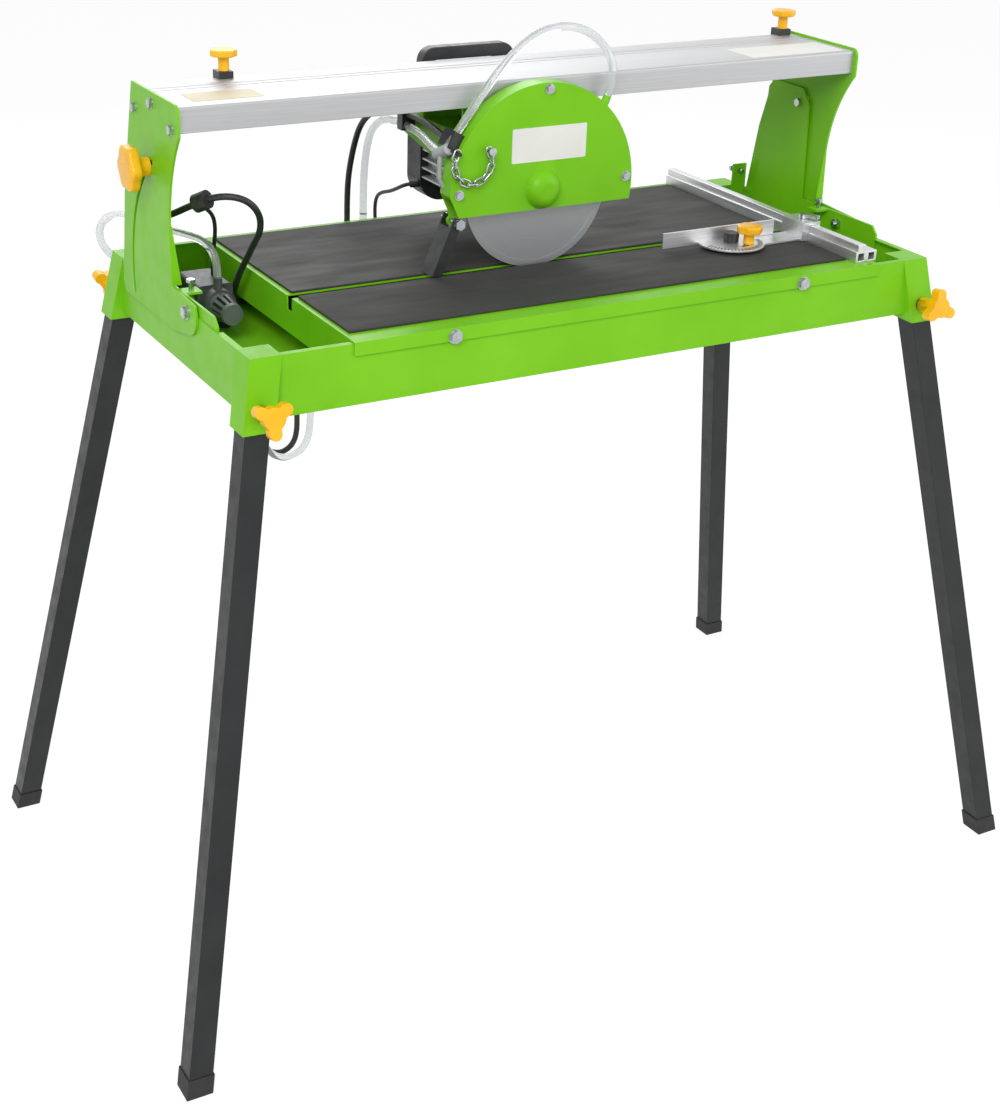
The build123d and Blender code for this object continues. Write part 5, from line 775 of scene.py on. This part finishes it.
# Travel stops. Moulded hooks in black plastic that slide on the rail's back edge, each clamped
# there by a yellow knob on top.
stop_sizes = {
    "lobes": 7, "radius": 0.0163, "dip": 0.07, "height": 0.009, "crown": 0.36,
    "stem_radius": 0.0065, "stem": 0.016,
}
for side, stop_x in (("left", -0.363), ("right", 0.452)):
    dressed("rail_stop_" + side, 0.0016, black_plastic)
    moulded_knob("stop_knob_" + side, (stop_x, 0.0975, 1.0846), (0, 0, 1), stop_sizes)

# Carriage. Folded green saddle over the motor, with nylon rollers on shouldered axles that
# run on the rail's lips.
dressed("carriage", 0.0008, green_paint)
dressed("roller_axles", 0.0005, zinc_steel)
roller_nylon = new_finish("roller_nylon", srgb(70, 70, 72), 0.4)
mottle(roller_nylon, noise_over(roller_nylon, 120), srgb(60, 60, 62), srgb(82, 82, 84))
relief(roller_nylon, noise_over(roller_nylon, 900), 0.0001, 0.4)
dressed("rollers_left", 0.0010, roller_nylon)
dressed("rollers_right", 0.0010, roller_nylon)

# Motor. Cast aluminium housing with side fins, a black moulded end cover, and the winding,
# rotor and bearings inside.
cast_alloy = new_finish("cast_alloy", srgb(206, 208, 211), 0.48, 0.6)
mottle(cast_alloy, noise_over(cast_alloy, 160), srgb(194, 196, 200), srgb(218, 220, 222))
gloss(cast_alloy, noise_over(cast_alloy, 300), 0.4, 0.58)
relief(cast_alloy, noise_over(cast_alloy, 1200), 0.00022, 0.5)
dressed("motor_housing", 0.0005, cast_alloy)
spindle_x, spindle_z = -0.017, 0.947
cover_back_y = 0.176
slot_reach = 0.034


def is_cover_rim(middle):
    """Edges round the cover's back face, outside its air slots."""
    away = max(abs(middle.x - spindle_x), abs(middle.z - spindle_z))
    return abs(middle.y - cover_back_y) < 0.0002 and away > slot_reach


dressed("motor_end_cover", 0.0065, black_plastic, is_cover_rim, steps=4)
winding_iron = new_finish("winding_iron", srgb(92, 90, 88), 0.55, 0.7)
winding_turns = noise_over(winding_iron, 300, stretch=(1, 8, 1))
mottle(winding_iron, winding_turns, srgb(78, 76, 74), srgb(108, 105, 101))
relief(winding_iron, noise_over(winding_iron, 700, stretch=(0.2, 6, 0.2)), 0.0002, 0.5)
for node in ("stator", "armature", "bearings"):
    finish_with(frame["nodes"][node], winding_iron if node == "stator" else zinc_steel)

# Push handle. Bail moulded in black plastic with rounded grip edges, screwed on the back of the
# saddle, with the switch lever hinged under it.
grip_y, grip_half = 0.130, 0.008
dressed("head_handle", 0.0062, black_plastic,
        lambda middle: abs(abs(middle.y - grip_y) - grip_half) < 0.0002, steps=4)
dressed("switch_lever", 0.0012, black_plastic)

# Blade. Steel disc with a continuous diamond rim, turned to a fine ring pattern, clamped
# between two flanges by a nut.
blade_steel = new_finish("blade_steel", srgb(166, 168, 170), 0.4, 0.6)


def turned_rings(material, centre_x, centre_z, rings):
    """Pattern of fine rings about the spindle."""
    tree = material.node_tree
    place = tree.nodes.new("ShaderNodeTexCoord")
    middle = tree.nodes.new("ShaderNodeMapping")
    middle.inputs["Location"].default_value = (-centre_x, 0, -centre_z)
    flat = tree.nodes.new("ShaderNodeVectorMath")
    flat.operation = "MULTIPLY"
    flat.inputs[1].default_value = (1, 0, 1)
    reach = tree.nodes.new("ShaderNodeVectorMath")
    reach.operation = "LENGTH"
    ring = tree.nodes.new("ShaderNodeTexNoise")
    ring.noise_dimensions = "1D"
    ring.inputs["Scale"].default_value = rings
    ring.inputs["Detail"].default_value = 3.0
    tree.links.new(place.outputs["Object"], middle.inputs["Vector"])
    tree.links.new(middle.outputs["Vector"], flat.inputs[0])
    tree.links.new(flat.outputs["Vector"], reach.inputs[0])
    tree.links.new(reach.outputs["Value"], ring.inputs["W"])
    return ring.outputs["Fac"]


blade_rings = turned_rings(blade_steel, spindle_x, spindle_z, 900)
mottle(blade_steel, blade_rings, srgb(160, 162, 164), srgb(171, 173, 175))
gloss(blade_steel, blade_rings, 0.36, 0.46)
relief(blade_steel, blade_rings, 0.00003, 0.25)
dressed("saw_blade", 0.0002, blade_steel)
dressed("blade_clamp", 0.0005, zinc_steel)

# Blade guard. Pressed sheet cover and shell in green, with a pressed dome over the spindle nut
# and a blank plate stuck on its front.
dressed("guard_shell", 0.0007, green_paint)
dressed("guard_cover", 0.0007, green_paint)
plain_plate("guard_plate", (-0.0625, -0.0633, 0.9820), (0.0416, -0.0630, 1.0235), "head", blank_foil)

# Splash flap. Channel folded from thin sheet and painted black, hung on its hinge bolt in front
# of the blade, so that it drags on the tile.
flap_sheet = new_finish("flap_paint", srgb(38, 39, 40), 0.4)
mottle(flap_sheet, noise_over(flap_sheet, 30), srgb(33, 34, 35), srgb(45, 46, 47))
gloss(flap_sheet, noise_over(flap_sheet, 90), 0.32, 0.5)
relief(flap_sheet, noise_over(flap_sheet, 900), 0.0001, 0.35)
dressed("splash_flap", 0.0007, flap_sheet)

# Hose clips and joints. Black moulded clips on the guard's rim and on the saddle, and a grey
# branch piece that feeds the guard hose and the jet pipe.
dressed("hose_clips", 0.0008, black_plastic)
grey_plastic = new_finish("grey_moulding", srgb(96, 98, 101), 0.45)
mottle(grey_plastic, noise_over(grey_plastic, 40), srgb(86, 88, 91), srgb(108, 110, 113))
gloss(grey_plastic, noise_over(grey_plastic, 120), 0.38, 0.54)
relief(grey_plastic, noise_over(grey_plastic, 1400), 0.0001, 0.4)
pale_plastic = new_finish("pale_moulding", srgb(168, 170, 172), 0.34)
mottle(pale_plastic, noise_over(pale_plastic, 40), srgb(158, 160, 162), srgb(178, 180, 182))
gloss(pale_plastic, noise_over(pale_plastic, 120), 0.28, 0.4)
dressed("hose_tee", 0.0006, pale_plastic)

# Guard chain. Short bright chain of bent round wire that hangs in a bow on the guard's front,
# from the chain pin to a screw, each link a quarter turn from the last.


def chain_plan(name, material):
    """Links of round wire along an arc, alternately flat and on edge."""
    plan, given = node_plan(
        name, links=11, bow=0.025, start=2.7, sweep=4.0, length=0.017, width=0.0105, wire=0.0024,
    )
    reckon = reckoner(plan)
    points = put(plan, "GeometryNodePoints", {"Count": given["links"]})
    number = put(plan, "GeometryNodeInputIndex", {})
    share = reckon("DIVIDE", number, reckon("SUBTRACT", given["links"], 1.0))
    turn = reckon("MULTIPLY_ADD", share, given["sweep"], given["start"])
    away = put(plan, "ShaderNodeCombineXYZ", {"X": reckon("COSINE", turn), "Z": reckon("SINE", turn)})
    place = put(plan, "ShaderNodeVectorMath", {0: away, "Scale": given["bow"]}, operation="SCALE")
    placed = put(plan, "GeometryNodeSetPosition", {"Geometry": points, "Position": place})
    bend = reckon("MULTIPLY", reckon("SUBTRACT", given["width"], given["wire"]), 0.5)
    ring = put(plan, "GeometryNodeCurvePrimitiveCircle", {"Radius": bend, "Resolution": 32})
    spot = plan.nodes.new("ShaderNodeSeparateXYZ")
    plan.links.new(put(plan, "GeometryNodeInputPosition", {}), spot.inputs[0])
    straight = reckon("MULTIPLY", reckon("SUBTRACT", given["length"], given["width"]), 0.5)
    along = reckon("MULTIPLY", reckon("SIGN", spot.outputs["X"]), straight)
    shift = put(plan, "ShaderNodeCombineXYZ", {"X": along})
    oval = put(plan, "GeometryNodeSetPosition", {"Geometry": ring, "Offset": shift})
    wire_radius = reckon("MULTIPLY", given["wire"], 0.5)
    round_wire = put(plan, "GeometryNodeCurvePrimitiveCircle", {"Radius": wire_radius, "Resolution": 12})
    link = put(plan, "GeometryNodeCurveToMesh", {"Curve": oval, "Profile Curve": round_wire})
    roll = reckon("MULTIPLY", reckon("SUBTRACT", 1.0, reckon("MODULO", number, 2.0)), math.pi / 2)
    lean = reckon("MULTIPLY_ADD", turn, -1.0, -math.pi / 2)
    spin = put(plan, "ShaderNodeCombineXYZ", {"X": roll, "Y": lean})
    aim = put(plan, "FunctionNodeEulerToRotation", {"Euler": spin})
    laid = put(plan, "GeometryNodeInstanceOnPoints", {"Points": placed, "Instance": link, "Rotation": aim})
    close_plan(plan, laid, material)
    return plan


chain_sizes = {"start": math.radians(155), "sweep": math.radians(230)}
bow_plan = chain_plan("guard_chain", zinc_steel)
chain = grow("guard_chain_links", bow_plan, chain_sizes, [], "head")
bow_middle = (-0.1185, -0.069, 0.990)
chain.data.transform(Matrix.Translation(bow_middle))
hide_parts("guard_chain")

# Pump. Submersible water pump in a moulded grey housing with a slotted strainer cap, standing
# on rubber feet in the tray, with the grommets and the tie that hold its cables.
pump_plastic = new_finish("pump_moulding", srgb(74, 76, 79), 0.48)
mottle(pump_plastic, noise_over(pump_plastic, 40), srgb(64, 66, 69), srgb(86, 88, 91))
gloss(pump_plastic, noise_over(pump_plastic, 120), 0.4, 0.56)
relief(pump_plastic, noise_over(pump_plastic, 1400), 0.0001, 0.4)
dressed("pump_housing", 0.0012, pump_plastic)
dressed("pump_strainer", 0.0004, grey_plastic)
dressed("pump_feet", 0.0008, cap_rubber)
dressed("grommets", 0.0008, cap_rubber)
dressed("cable_tie", 0.0012, cable_rubber)
